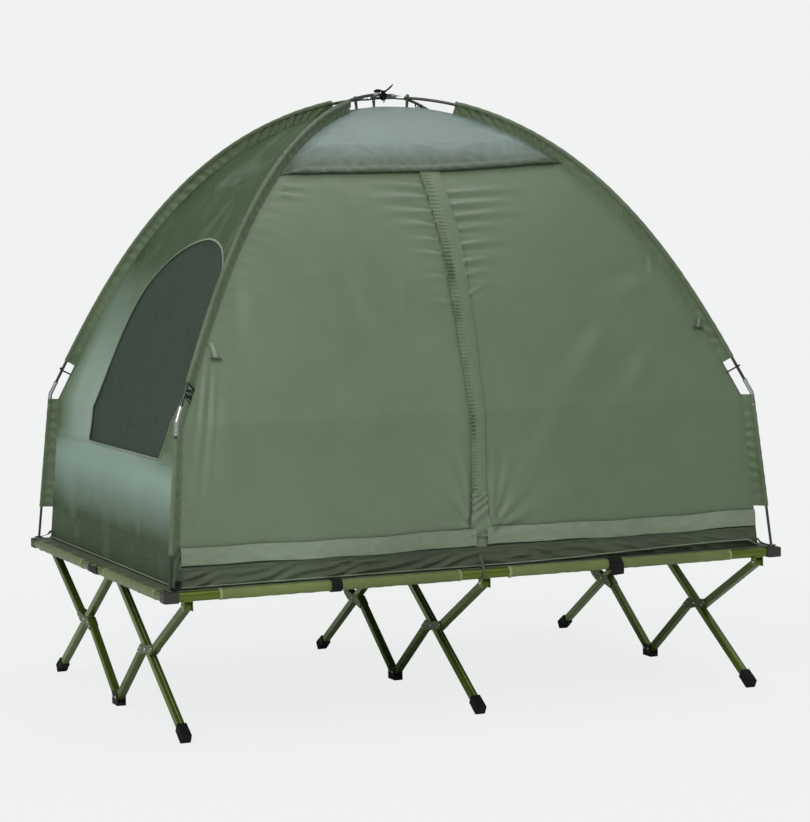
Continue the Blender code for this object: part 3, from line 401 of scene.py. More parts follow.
class Finishes:
    """Every finish of the tent cot, each built once."""

    def __init__(self) -> None:
        """Set the colours and start with no material built."""
        self.built: Dict[str, bpy.types.Material] = {}
        # The tent cloth; its fade is painted shade that darkens the cloth towards the right.
        self.tent = ClothFinish("tent_cloth", "tent_cloth", tint("6b7c61"), tint("5f7055"),
                                tint("76876c"), 0.40, 0.12, 0.2, crease_scale=9.0,
                                crease_depth=0.0018, painted_light_fades=((0, -0.05, 0.4, tint("627557")),))
        # The roof is the tent cloth painted paler and bluer, a painted sky reflection; its fade is
        # painted shade that darkens it towards the eave.
        self.roof = ClothFinish("roof_cloth", "tent_cloth", tint("6c827b"), tint("5d7167"),
                                tint("80958f"), 0.36, 0.15, 0.2, crease_scale=8.0,
                                crease_depth=0.0018, painted_light_fades=((2, 1.660, 1.600, tint("364a2c")),))
        # The end walls are the tent cloth painted paler, a painted sheen; the fades paint shade on the
        # near side, at the far edge, at the top and at the foot, and a band of painted sheen just
        # below the seam.
        self.end = ClothFinish(
            "end_cloth", "tent_cloth", tint("9bb2a0"), tint("82977d"), tint("adc4b5"), 0.5, 0.0,
            0.0, crease_scale=6.0, crease_depth=0.0012, specular=0.2,
            painted_light_fades=((1, -0.12, -0.45, tint("5f734f")), (1, 0.46, 0.62, tint("5d714d")),
                   (2, 0.98, 1.32, tint("3a5028")), (2, 0.80, 0.72, tint("98b2a2")),
                   (2, 0.70, 0.54, tint("33471c"))))
        self.sleeve = ClothFinish("sleeve_cloth", "tent_cloth", tint("596a49"), tint("3d4c31"),
                                  tint("7c8e70"), 0.46, 0.1, 0.2, crease_scale=38.0,
                                  crease_depth=0.0009)
        self.tub = ClothFinish("tub_cloth", "tub_cloth", tint("434f37"), tint("232c19"),
                               tint("6e7c60"), 0.44, 0.1, 0.1, crease_scale=18.0,
                               crease_depth=0.0040, crease_run=(0.45, 1.0, 1.6))
        self.hem = ClothFinish("hem_cloth", "tent_cloth", tint("7a8a70"), tint("56654c"),
                               tint("a2b29a"), 0.44, 0.05, 0.15, crease_scale=28.0,
                               crease_depth=0.0034, crease_run=(0.6, 1.0, 1.2))
        # Painted shade: the top sheet is the bed's fabric painted darker for the shade that falls on
        # it beside the tent.
        self.bed = ClothFinish("bed_cloth", "bed_cloth", tint("3f4d2b"), tint("2c381c"),
                               tint("59693a"), 0.62, 0.0, 0.15, 0.0022, 0.00012, 22.0, 0.002)
        self.rail_cloth = ClothFinish("rail_cloth", "bed_cloth", tint("65753a"), tint("4b5926"),
                                      tint("8a9a55"), 0.42, 0.1, 0.1, 0.0022, 0.0001, 30.0,
                                      0.0008)
        self.band = ClothFinish("band_cloth", "bed_cloth", tint("8d9c64"), tint("738250"),
                                tint("a5b27c"), 0.5, 0.0, 0.2, 0.0022, 0.00012, 60.0, 0.0006)
        self.webbing = ClothFinish("webbing", "black_plastic", tint("171816"), tint("0f100f"),
                                   tint("252624"), 0.6, 0.0, 0.03, 0.0024, 0.0003, 80.0, 0.0008,
                                   specular=0.15)
        self.thread = ClothFinish("thread", "tent_cloth", tint("7f8d74"), tint("6b7962"),
                                  tint("95a28a"), 0.6, 0.0, 0.1, 0.0008, 0.0001, 90.0, 0.0004)
        self.net = NetFinish("window_net", "window_net", tint("3d4d3f"))
        self.tube = SolidFinish("olive_tube", "olive_tube", tint("617129"), tint("82913f"), 0.55,
                                0.3, 500.0, 0.00001, (1.0, 0.12, 0.12), 0.15, 0.05, 0.35)
        self.brace = SolidFinish("olive_brace", "olive_tube", tint("55651f"), tint("788638"), 0.45,
                                 0.34, 500.0, 0.00001, (1.0, 0.12, 0.12), 0.15, 0.0, 0.3,
                                 plate_sets=(-0.893, 0.0, 0.893), dark=tint("48561c"))
        self.bar = SolidFinish("olive_bar", "olive_tube", tint("617129"), tint("82913f"), 0.55,
                               0.32, 500.0, 0.00001, (0.12, 1.0, 0.12), 0.15, 0.05, 0.35,
                               cap_from=0.6818, dark=tint("33362c"))
        self.plastic = SolidFinish("black_plastic", "black_plastic", tint("161716"),
                                   tint("2b2c2b"), 0.0, 0.5, 900.0, 0.0001, wear=0.25,
                                   specular=0.2)
        self.rubber = SolidFinish("black_rubber", "black_rubber", tint("141513"), tint("2a2b29"),
                                  0.0, 0.66, 650.0, 0.0002, wear=0.35, specular=0.2)
        self.toggle = SolidFinish("toggle_plastic", "black_plastic", tint("3c4634"),
                                  tint("566049"), 0.0, 0.5, 900.0, 0.0001, wear=0.25)
        self.steel = SolidFinish("plated_steel", "steel", tint("c4c6c2"), tint("9b9e99"), 0.95,
                                 0.26, 400.0, 0.00003, (1.0, 1.0, 0.1), 0.4)
        self.pole = SolidFinish("pole_glassfibre", "pole_cloth", tint("2b3128"), tint("484f43"),
                                0.0, 0.34, 300.0, 0.00003, (1.0, 1.0, 0.1), 0.3, 0.2)

    def of(self, finish: Any) -> bpy.types.Material:
        """Give a finish's material, built at its first use.

        Args:
            finish: The finish.

        Returns:
            Its material.
        """
        if finish.name not in self.built:
            self.built[finish.name] = finish.material()
        return self.built[finish.name]


FINISHES = Finishes()


def grid_faces(rows: int, columns: int, closed: bool, first: int = 0) -> np.ndarray:
    """Number the corners of a grid's four-sided faces.

    Args:
        rows: How many rows of points there are.
        columns: How many points a row has.
        closed: Whether each row's last point joins its first.
        first: The number of the grid's first point.

    Returns:
        The faces, one in each row.
    """
    row = np.arange(rows - 1)[:, None]
    column = np.arange(columns if closed else columns - 1)[None, :]
    after = (column + 1) % columns
    corners = (row * columns + column, row * columns + after,
               (row + 1) * columns + after, (row + 1) * columns + column)
    return np.stack(np.broadcast_arrays(*corners), axis=-1).reshape(-1, 4) + first


def unit(vectors: np.ndarray) -> np.ndarray:
    """Scale vectors to length one, leaving empty ones alone."""
    return vectors / np.maximum(np.linalg.norm(vectors, axis=-1, keepdims=True), 1e-12)


def heading(path: np.ndarray, closed: bool) -> np.ndarray:
    """Find the way that a path runs at each of its points.

    Args:
        path: The points of the path.
        closed: Whether the path comes back to its start.

    Returns:
        The ways, each of length one.
    """
    if closed:
        return unit(np.roll(path, -1, axis=0) - np.roll(path, 1, axis=0))
    return unit(np.gradient(path, axis=0))


def corner_points(half: Sequence[float], edge: float, steps: int = 4) -> np.ndarray:
    """Go round a rectangle with rounded corners, a few points at each corner.

    Args:
        half: Half of its width and of its height.
        edge: The radius of its corners.
        steps: How many steps a corner has.

    Returns:
        The points.
    """
    points = []
    for sx, sy, begin in ((1, 1, 0.0), (-1, 1, 0.5), (-1, -1, 1.0), (1, -1, 1.5)):
        for step in range(steps + 1):
            angle = math.pi * (begin + step / steps / 2)
            points.append((sx * (half[0] - edge) + edge * math.cos(angle),
                           sy * (half[1] - edge) + edge * math.sin(angle)))
    return np.array(points)


def rounded(half: Sequence[float], edge: float, turn: np.ndarray) -> np.ndarray:
    """Go round a rectangle with rounded corners, one point for each angle.

    Args:
        half: Half of its width and of its height.
        edge: The radius of its corners.
        turn: The angles.

    Returns:
        The points.
    """
    way = np.stack((np.cos(turn), np.sin(turn)), axis=1)
    return np.sign(way) * (np.asarray(half) - edge) + edge * way


class Shop:
    """Makes pieces from points, and puts each on the body that carries it."""

    SHARP_ANGLE = math.radians(50)

    @staticmethod
    def piece(name: str, points: np.ndarray, faces: Sequence[Sequence[int]], finish: Any,
              body: str) -> bpy.types.Object:
        """Make one object from points and faces.

        Args:
            name: The piece's name.
            points: Its corners.
            faces: The corners of each face.
            finish: The finish that it gets.
            body: The body that carries it.

        Returns:
            The new object.
        """
        mesh = bpy.data.meshes.new(name)
        mesh.from_pydata(np.asarray(points).reshape(-1, 3).tolist(), [],
                         [list(map(int, face)) for face in faces])
        mesh.validate()
        mesh.shade_smooth()
        mesh.set_sharp_from_angle(angle=Shop.SHARP_ANGLE)
        mesh.materials.append(FINISHES.of(finish))
        made = bpy.data.objects.new(name, mesh)
        bpy.context.scene.collection.objects.link(made)
        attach(made, body)
        return made

    @staticmethod
    def shell(name: str, grid: np.ndarray, thickness: float, finish: Any, body: str,
              closed: bool = False, flip: bool = False) -> bpy.types.Object:
        """Make a thin closed sheet from a grid of points on its outer side.

        Args:
            name: The piece's name.
            grid: Rows of points, whose columns run to the right as rows run up.
            thickness: How thick the sheet is.
            finish: The finish that it gets.
            body: The body that carries it.
            closed: Whether each row's last point joins its first.
            flip: Whether the grid runs the other way round.

        Returns:
            The new object.
        """
        if flip:
            grid = grid[:, ::-1]
        rows, columns = grid.shape[:2]
        if closed:
            across = (np.roll(grid, -1, axis=1) - np.roll(grid, 1, axis=1)) / 2
        else:
            across = np.gradient(grid, axis=1)
        normal = unit(np.cross(across, np.gradient(grid, axis=0)))
        inner = grid - normal * thickness
        count = rows * columns
        outer_faces = grid_faces(rows, columns, closed)
        faces = [outer_faces, grid_faces(rows, columns, closed, count)[:, ::-1]]
        column = np.arange(columns if closed else columns - 1)
        after = (column + 1) % columns
        last = (rows - 1) * columns
        faces.append(np.stack((count + column, count + after, after, column), axis=1))
        faces.append(np.stack((last + column, last + after, count + last + after,
                               count + last + column), axis=1))
        if not closed:
            low = np.arange(rows - 1) * columns
            high = low + columns
            end = columns - 1
            faces.append(np.stack((low, high, count + high, count + low), axis=1))
            faces.append(np.stack((count + low + end, count + high + end, high + end,
                                   low + end), axis=1))
        points = np.concatenate((grid.reshape(-1, 3), inner.reshape(-1, 3)))
        return Shop.piece(name, points, np.concatenate(faces), finish, body)

    @staticmethod
    def sweep(name: str, stations: np.ndarray, finish: Any, body: str,
              closed: bool = False) -> bpy.types.Object:
        """Join rings of points into one closed skin.

        Args:
            name: The piece's name.
            stations: The rings, each a row of points.
            finish: The finish that it gets.
            body: The body that carries it.
            closed: Whether the last ring joins the first.

        Returns:
            The new object.
        """
        rows, columns = stations.shape[:2]
        if closed:
            faces = (grid_faces(rows + 1, columns, True) % (rows * columns)).tolist()
        else:
            faces = grid_faces(rows, columns, True).tolist()
            faces.append(list(range(columns))[::-1])
            faces.append([(rows - 1) * columns + at for at in range(columns)])
        centre = stations.mean(axis=1)
        way = centre[1] - centre[0]
        first = np.cross(stations[0, 1] - stations[0, 0], way)
        if np.dot(first, stations[0, 0] - centre[0]) < 0:
            faces = [face[::-1] for face in faces]
        return Shop.piece(name, stations, faces, finish, body)

    @staticmethod
    def frames(path: np.ndarray, closed: bool) -> Tuple[np.ndarray, np.ndarray]:
        """Carry two cross directions along a path without twisting them.

        Args:
            path: The points of the path.
            closed: Whether the path comes back to its start.

        Returns:
            The two directions at each point.
        """
        way = heading(path, closed)
        seed = UP if abs(way[0][2]) < 0.9 else np.array((1.0, 0.0, 0.0))
        side = unit(np.cross(way[0], seed))
        sides = []
        for step in way:
            side = unit(side - step * np.dot(side, step))
            sides.append(side)
        sides = np.array(sides)
        return sides, np.cross(way, sides)

    @staticmethod
    def wire(name: str, path: Sequence, radius: Numbers, finish: Any, body: str, sides: int = 12,
             closed: bool = False) -> bpy.types.Object:
        """Make a round wire, cord or tube.

        Args:
            name: The piece's name.
            path: The points of its middle line.
            radius: Its radius, or one for each point.
            finish: The finish that it gets.
            body: The body that carries it.
            sides: How many sides its section has.
            closed: Whether it is a ring.

        Returns:
            The new object.
        """
        path = np.asarray(path, float)
        first, second = Shop.frames(path, closed)
        turn = np.linspace(0, 2 * math.pi, sides, endpoint=False)
        size = np.broadcast_to(np.asarray(radius, float), (len(path),))[:, None, None]
        ring = (first[:, None, :] * np.cos(turn)[None, :, None]
                + second[:, None, :] * np.sin(turn)[None, :, None])
        return Shop.sweep(name, path[:, None, :] + ring * size, finish, body, closed)

    @staticmethod
    def ribbon(name: str, path: Sequence, across: Sequence, width: float, thickness: float,
               finish: Any, body: str, closed: bool = False) -> bpy.types.Object:
        """Make a flat strap with rounded edges.

        Args:
            name: The piece's name.
            path: The points of its middle line.
            across: The direction of its width, or one for each point.
            width: How wide it is.
            thickness: How thick it is.
            finish: The finish that it gets.
            body: The body that carries it.
            closed: Whether it is a ring.

        Returns:
            The new object.
        """
        path = np.asarray(path, float)
        across = unit(np.broadcast_to(np.asarray(across, float), path.shape))
        flat = unit(np.cross(heading(path, closed), across))
        half, thin = width / 2, thickness / 2
        section = [(-half, thin / 2), (-half + thin, thin), (0.0, thin * 1.1), (half - thin, thin),
                   (half, thin / 2), (half, -thin / 2), (half - thin, -thin), (0.0, -thin * 1.1),
                   (-half + thin, -thin), (-half, -thin / 2)]
        stations = np.stack([path + across * wide + flat * deep for wide, deep in section], axis=1)
        return Shop.sweep(name, stations, finish, body, closed)

    @staticmethod
    def domes(name: str, places: Sequence[Tuple[Sequence[float], float]], radius: float,
              height: float, finish: Any, body: str) -> bpy.types.Object:
        """Make domed pin and rivet heads that face along X.

        Args:
            name: The piece's name.
            places: The middle of each head's base, and the way it faces, 1 or -1.
            radius: The heads' radius.
            height: How far they stand proud.
            finish: The finish that they get.
            body: The body that carries them.

        Returns:
            The new object.
        """
        sides = 16
        turn = np.linspace(0, 2 * math.pi, sides, endpoint=False)
        levels = [(1.0, -0.3), (1.0, 0.0), (0.96, 0.3), (0.8, 0.66), (0.5, 0.9), (0.15, 1.0)]
        points, faces = [], []
        for middle, way in places:
            start = len(points) * sides
            for wide, tall in levels:
                ring = np.stack((np.full(sides, middle[0] + way * tall * height),
                                 middle[1] + np.cos(turn) * radius * wide,
                                 middle[2] + np.sin(turn) * radius * wide), axis=1)
                points.append(ring)
            block = grid_faces(len(levels), sides, True, start).tolist()
            block.append([start + at for at in range(sides)][::-1])
            block.append([start + (len(levels) - 1) * sides + at for at in range(sides)])
            faces += [face if way > 0 else face[::-1] for face in block]
        return Shop.piece(name, np.concatenate(points), faces, finish, body)

    @staticmethod
    def block(name: str, middle: Sequence[float], axes: Sequence[Sequence[float]],
              size: Sequence[float], edge: float, finish: Any, body: str) -> bpy.types.Object:
        """Make a small block with rounded edges.

        Args:
            name: The piece's name.
            middle: Its middle.
            axes: Its three directions.
            size: Its whole size along each of them.
            edge: The radius of its edges.
            finish: The finish that it gets.
            body: The body that carries it.

        Returns:
            The new object.
        """
        axes = unit(np.asarray(axes, float))
        half = np.asarray(size, float) / 2
        outline = corner_points(half, edge)
        stations = [(0.0, -1.0), (0.55, -0.86), (1.0, -0.55)]
        stations += [(share, -depth) for share, depth in reversed(stations)]
        rings = []
        for share, depth in stations:
            shrink = 1 - (1 - share) * edge / half[:2]
            away = (half[2] - edge) * math.copysign(1, depth) + edge * depth
            flat = outline * shrink
            rings.append(np.asarray(middle) + flat[:, :1] * axes[0] + flat[:, 1:] * axes[1]
                         + away * axes[2])
        return Shop.sweep(name, np.array(rings), finish, body)


def smooth_path(points: Sequence, step: float, closed: bool = False) -> np.ndarray:
    """Run a smooth curve through a few points.

    Args:
        points: The points that it passes.
        step: How far apart the new points lie.
        closed: Whether the curve comes back to its start.

    Returns:
        The points of the curve.
    """
    points = np.asarray(points, float)
    if closed:
        padded = np.concatenate((points[-1:], points, points[:2]))
    else:
        padded = np.concatenate((2 * points[:1] - points[1:2], points,
                                 2 * points[-1:] - points[-2:-1]))
    curve = []
    for before, start, end, after in zip(padded, padded[1:], padded[2:], padded[3:]):
        count = max(2, int(np.linalg.norm(end - start) / step))
        share = np.linspace(0, 1, count, endpoint=False)[:, None]
        curve.append(0.5 * (2 * start + (end - before) * share
                            + (2 * before - 5 * start + 4 * end - after) * share ** 2
                            + (3 * start - before - 3 * end + after) * share ** 3))
    if not closed:
        curve.append(points[-1:])
    return np.concatenate(curve)


def distances(path: np.ndarray) -> np.ndarray:
    """How far along a path each of its points lies."""
    return np.concatenate(([0], np.cumsum(np.linalg.norm(np.diff(path, axis=0), axis=1))))


def path_length(path: np.ndarray) -> float:
    """The length of a path along its points."""
    return float(distances(path)[-1])


def wander(first: np.ndarray, second: np.ndarray, scale: float, seed: float) -> np.ndarray:
    """Smooth noise over a plane.

    Args:
        first: The first coordinate of each place.
        second: The second coordinate.
        scale: How many cells a metre has.
        seed: Which noise it is.

    Returns:
        Numbers between about -1 and 1.
    """
    first, second = np.broadcast_arrays(first, second)
    found = [noise.noise(Vector((a * scale, b * scale, seed)))
             for a, b in zip(first.ravel(), second.ravel())]
    return np.array(found).reshape(first.shape)


def ease(share: Numbers) -> np.ndarray:
    """Rise smoothly from 0 to 1 as the share does."""
    share = np.clip(share, 0.0, 1.0)
    return share * share * (3 - 2 * share)


class Side(Enum):
    """The tent's four walls, each with the direction that it faces."""

    FRONT = (0.0, -1.0, 0.0)
    BACK = (0.0, 1.0, 0.0)
    LEFT = (-1.0, 0.0, 0.0)
    RIGHT = (1.0, 0.0, 0.0)

    @property
    def out(self) -> np.ndarray:
        """The level direction that the wall faces."""
        return np.array(self.value)

    @property
    def along(self) -> np.ndarray:
        """The level direction to the right, seen from outside."""
        return np.cross(UP, self.out)

    @property
    def lengthwise(self) -> bool:
        """Whether the wall runs along the bed."""
        return self in (Side.FRONT, Side.BACK)

    @property
    def word(self) -> str:
        """The wall's name in lower case."""
        return self.name.lower()


CORNERS = {"near_left": (-1, -1), "near_right": (1, -1), "far_left": (-1, 1),
           "far_right": (1, 1)}
CORNER_SIZES = {
    "near_left": {"sleeve_top": 0.130, "lower_top": 0.848, "lower_foot": 0.5316, "tab": 0.040},
    "near_right": {"sleeve_top": 0.150, "lower_top": 0.888, "lower_foot": 0.5530, "tab": 0.050},
    "far_left": {"sleeve_top": 0.110, "lower_top": 0.878, "lower_foot": 0.5316, "tab": 0.062},
    "far_right": {"sleeve_top": 0.150, "lower_top": 0.870, "lower_foot": 0.5400, "tab": 0.135}}


@dataclass
class TentForm:
    """The tent's outline: two poles bent over the crown, and the hips of the walls under them."""

    bar_x: float = 0.9425
    rail_spread: float = 0.700
    elbow_inset: float = 0.054
    elbow_height: float = 0.8933
    pole_end_angle: float = 61.3
    sleeve_depth: float = 0.032
    tent_inset: float = 0.041
    floor_height: float = 0.4316
    tub_rise: float = 0.058
    rod_foot_height: float = 0.4303
    steps: int = 240
    creases: Dict[Side, List[Tuple[float, ...]]] = field(default_factory=dict)

    def __post_init__(self) -> None:
        """Work out the curves of pole and hip, and the creases of the walls."""
        foot = math.hypot(self.bar_x, self.rail_spread)
        self.foot_radius = foot
        self.long_share = self.bar_x / foot
        self.cross_share = self.rail_spread / foot
        self.tub_top = self.floor_height + self.tub_rise
        slope = math.radians(self.pole_end_angle) * np.sin(
            math.pi / 2 * np.linspace(0, 1, self.steps + 1))
        out = np.concatenate(([0], np.cumsum((np.cos(slope[1:]) + np.cos(slope[:-1])) / 2)))
        fall = np.concatenate(([0], np.cumsum((np.sin(slope[1:]) + np.sin(slope[:-1])) / 2)))
        scale = (foot - self.elbow_inset) / out[-1]
        self.pole = np.stack((scale * out, self.elbow_height + scale * (fall[-1] - fall)), axis=1)
        inward = np.stack((-np.sin(slope), -np.cos(slope)), axis=1)
        self.hip = self.pole + inward * self.sleeve_depth
        corner = [[foot - self.tent_inset, self.floor_height]]
        self.line = np.concatenate((corner, self.hip[::-1]))
        self.run = distances(self.line)
        self.slope = np.gradient(self.line, self.run, axis=0)
        self.top = float(np.interp(0.0015, self.line[::-1, 0], self.line[::-1, 1]))
        self.creases = {side: self.folds(side) for side in Side}

    def share(self, side: Side) -> float:
        """How far a wall stands from the middle, as a share of the hip's distance."""
        return self.cross_share if side.lengthwise else self.long_share

    def half_width(self, side: Side, height: Numbers) -> np.ndarray:
        """Half of a wall's width at a height."""
        share = self.long_share if side.lengthwise else self.cross_share
        return share * np.interp(height, self.line[:, 1], self.line[:, 0])

    def levels(self, low: float, high: float, step: float) -> np.ndarray:
        """Heights that lie evenly along the hip.

        Args:
            low: The lowest height.
            high: The highest height.
            step: How far apart they lie, measured along the hip.

        Returns:
            The heights.
        """
        start, end = np.interp((low, high), self.line[:, 1], self.run)
        count = max(2, int((end - start) / step) + 1)
        return np.interp(np.linspace(start, end, count), self.run, self.line[:, 1])

    def wall(self, side: Side, across: Numbers, height: Numbers, lift: Numbers = 0.0,
             plain: bool = False) -> np.ndarray:
        """Points of a wall's cloth.

        Args:
            side: The wall.
            across: How far to the right of its middle each point lies, seen from outside.
            height: The points' heights.
            lift: How far they stand proud of the cloth.
            plain: Whether the cloth's creases are left out.

        Returns:
            The points.
        """
        across, height, lift = np.broadcast_arrays(
            np.asarray(across, float), np.asarray(height, float), np.asarray(lift, float))
        if not plain:
            lift = lift + self.relief(side, across, height)
        run = np.interp(height, self.line[:, 1], self.run)
        share = self.share(side)
        grow = share * np.interp(run, self.run, self.slope[:, 0])
        rise = np.interp(run, self.run, self.slope[:, 1])
        size = np.hypot(grow, rise)
        away = share * np.interp(run, self.run, self.line[:, 0]) + lift * rise / size
        level = height - lift * grow / size
        return (away[..., None] * side.out + across[..., None] * side.along
                + level[..., None] * UP)

    def folds(self, side: Side) -> List[Tuple[float, ...]]:
        """List the creases of a wall.

        Args:
            side: The wall.

        Returns:
            Each crease's two ends, its width, its depth and the share that it rises over.
        """
        if side is Side.FRONT:
            short, fold = (0.008, 0.0042, 0.06), (0.010, 0.0055, 0.4)
            pleat = (0.010, 0.0062, 0.06)
            broad, gathered, slack = (0.042, 0.0056, 0.4), (0.013, 0.0085, 0.15), (0.007, 0.010, 0.1)
            runs = [
                ((-0.030, 0.548, -0.250, 0.600), gathered), ((-0.030, 0.553, -0.180, 0.680), gathered),
                ((-0.028, 0.562, -0.105, 0.770), gathered), ((-0.026, 0.585, -0.055, 0.820), gathered),
                ((0.040, 0.548, 0.260, 0.606), gathered), ((0.040, 0.553, 0.205, 0.690), gathered),
                ((0.036, 0.562, 0.130, 0.785), gathered), ((0.034, 0.585, 0.072, 0.820), gathered),
                ((-0.905, 0.440, -0.520, 0.484), slack), ((-0.905, 0.437, -0.600, 0.453), slack),
                ((-0.900, 0.462, -0.720, 0.487), slack), ((-0.500, 0.438, -0.080, 0.470), slack),
                ((-0.430, 0.480, -0.060, 0.452), slack), ((0.060, 0.482, 0.480, 0.450), slack),
                ((0.905, 0.452, 0.560, 0.486), slack), ((0.905, 0.458, 0.700, 0.488), slack),
                ((0.080, 0.452, 0.400, 0.478), slack), ((0.900, 0.448, 0.420, 0.462), slack),
                ((0.040, 1.508, 0.300, 1.513), pleat), ((0.042, 1.473, 0.260, 1.478), pleat),
                ((0.044, 1.438, 0.280, 1.450), pleat), ((0.046, 1.402, 0.180, 1.406), short),
                ((0.046, 1.356, 0.220, 1.362), pleat), ((0.042, 1.307, 0.160, 1.311), pleat),
                ((0.040, 1.268, 0.110, 1.272), short), ((0.038, 1.212, 0.130, 1.250), short),
                ((-0.030, 1.530, -0.210, 1.534), short), ((-0.026, 1.497, -0.220, 1.492), pleat),
                ((-0.024, 1.455, -0.200, 1.450), pleat), ((-0.022, 1.413, -0.170, 1.416), pleat),
                ((-0.020, 1.372, -0.130, 1.370), short), ((-0.018, 1.330, -0.140, 1.333), short),
                ((-0.018, 1.262, -0.110, 1.258), short), ((-0.018, 1.190, -0.100, 1.194), short),
                ((-0.470, 1.532, -0.360, 1.527), short), ((-0.480, 1.508, -0.390, 1.500), short),
                ((0.630, 1.398, 0.545, 1.446), short), ((0.640, 1.374, 0.550, 1.418), short),
                ((0.655, 1.350, 0.570, 1.394), short), ((0.690, 1.290, 0.610, 1.330), short),
                ((0.430, 1.632, 0.230, 1.662), pleat), ((0.450, 1.614, 0.240, 1.628), pleat),
                ((0.380, 1.664, 0.210, 1.682), pleat), ((0.330, 1.688, 0.190, 1.702), short),
                ((0.460, 1.602, 0.180, 1.604), pleat), ((-0.420, 1.628, -0.280, 1.640), short),
                ((0.656, 1.302, 0.636, 1.217), fold),
                ((0.720, 1.230, 0.735, 1.140), short),
                ((-0.785, 1.053, -0.864, 0.619), fold), ((-0.767, 0.997, -0.838, 0.562), fold),
                ((-0.734, 0.941, -0.796, 0.537), broad), ((-0.640, 1.250, -0.560, 1.000), broad),
                ((0.600, 1.240, 0.431, 1.097), broad), ((0.431, 1.097, 0.162, 0.728), broad),
                ((0.250, 0.839, 0.051, 0.584), broad), ((0.580, 1.027, 0.297, 0.662), broad),
                ((0.330, 0.640, 0.080, 0.560), broad), ((-0.300, 1.300, -0.120, 0.900), broad),
                ((-0.330, 1.540, -0.200, 1.480), broad),
            ]
            return [(*run, *size) for run, size in runs]
        draw = random.Random(side.word)
        calm = 1.0 if side.lengthwise else 0.35
        folds = []
        for corner in (-1, 1):
            for _ in range(6 if side.lengthwise else 0):
                spread = draw.uniform(0.1, 0.6)
                reach = draw.uniform(0.25, 0.6)
                start = (corner * self.half_width(side, 0.52) * 0.97, 0.52)
                end = (start[0] - corner * reach * math.cos(spread),
                       start[1] + reach * math.sin(spread))
                folds.append((*start, *end, draw.uniform(0.012, 0.03),
                              draw.uniform(0.002, 0.004), 0.4))
            for _ in range(9):
                height = draw.uniform(0.95, 1.6)
                edge = corner * float(self.half_width(side, height)) * 0.97
                reach = draw.uniform(0.06, 0.18)
                folds.append((edge, height, edge - corner * reach, height - draw.uniform(0.02, 0.12),
                              draw.uniform(0.008, 0.014), draw.uniform(0.002, 0.0045) * calm, 0.2))
        return folds

    def relief(self, side: Side, across: np.ndarray, height: np.ndarray) -> np.ndarray:
        """How far a wall's cloth stands in or out of its flat shape.

        Args:
            side: The wall.
            across: How far to the right of its middle each place lies.
            height: The places' heights.

        Returns:
            The distance outwards.
        """
        seed = 3.1 + 7.3 * list(Side).index(side)
        calm = 1.0 if side.lengthwise else 0.4
        total = 0.0042 * (0.4 + 0.6 * calm) * wander(across, height, 2.6, seed)
        total = total + 0.0013 * calm * wander(across + height * 0.6, height * 0.5, 9.0, seed + 1)
        ridge = 1 - np.abs(wander(across * 0.9 + height * 0.35, height * 0.7, 7.0, seed + 2)) * 2
        total = total + 0.0012 * calm * np.clip(ridge, 0, 1) ** 3
        for x0, z0, x1, z1, width, depth, start in self.creases.get(side, ()):
            length = math.hypot(x1 - x0, z1 - z0)
            ux, uz = (x1 - x0) / length, (z1 - z0) / length
            forward = ((across - x0) * ux + (height - z0) * uz) / length
            sway = width * 0.3 * np.sin(forward * 4 + x0 * 40)
            aside = (-(across - x0) * uz + (height - z0) * ux) + sway
            wide = width * (0.6 + 0.8 * np.clip(forward, 0, 1.2))
            fade = ease(forward / start + 0.5) * np.clip(1.08 - forward, 0, 1) ** 1.3
            bump = np.exp(-(aside / wide) ** 2) - 0.7 * np.exp(-((aside + 1.7 * wide) / wide) ** 2)
            total = total + depth * bump * fade
        edge = self.half_width(side, height) - np.abs(across)
        pull = 0.0018 * calm * np.exp(-np.clip(edge, 0, None) / 0.05)
        total = total + pull * np.sin(height * 150 + across * 60 + 4 * wander(height, across, 6, 5))
        total = total * ease(edge / 0.035)
        total = total * ease((self.top - height) / 0.05 + 0.15)
        foot = ease((height - self.tub_top) / 0.03)
        total = total * (0.35 + 0.65 * foot)
        if not side.lengthwise:
            return total
        slope = np.sign(across) * height * 210
        low = 0.0032 * np.sin(across * 52 + slope + 5 * wander(across, height, 7, seed + 4))
        low = low * ease((self.tub_top - height) / 0.05 + 0.3) * (1 - foot) * ease(edge / 0.05)
        return total + low

    def spot(self, corner: Tuple[int, int], place: np.ndarray) -> np.ndarray:
        """Turn places in a corner's upright plane into points.

        Args:
            corner: The corner's way along X and along Y, each 1 or -1.
            place: Distances from the middle, and heights.

        Returns:
            The points.
        """
        place = np.asarray(place, float)
        level = np.array((corner[0] * self.long_share, corner[1] * self.cross_share, 0.0))
        return place[..., :1] * level + place[..., 1:] * UP

    def cross_way(self, corner: Tuple[int, int]) -> np.ndarray:
        """The level direction square to a corner's upright plane."""
        level = np.array((corner[0] * self.long_share, corner[1] * self.cross_share, 0.0))
        return np.cross(UP, level)


FORM = TentForm()


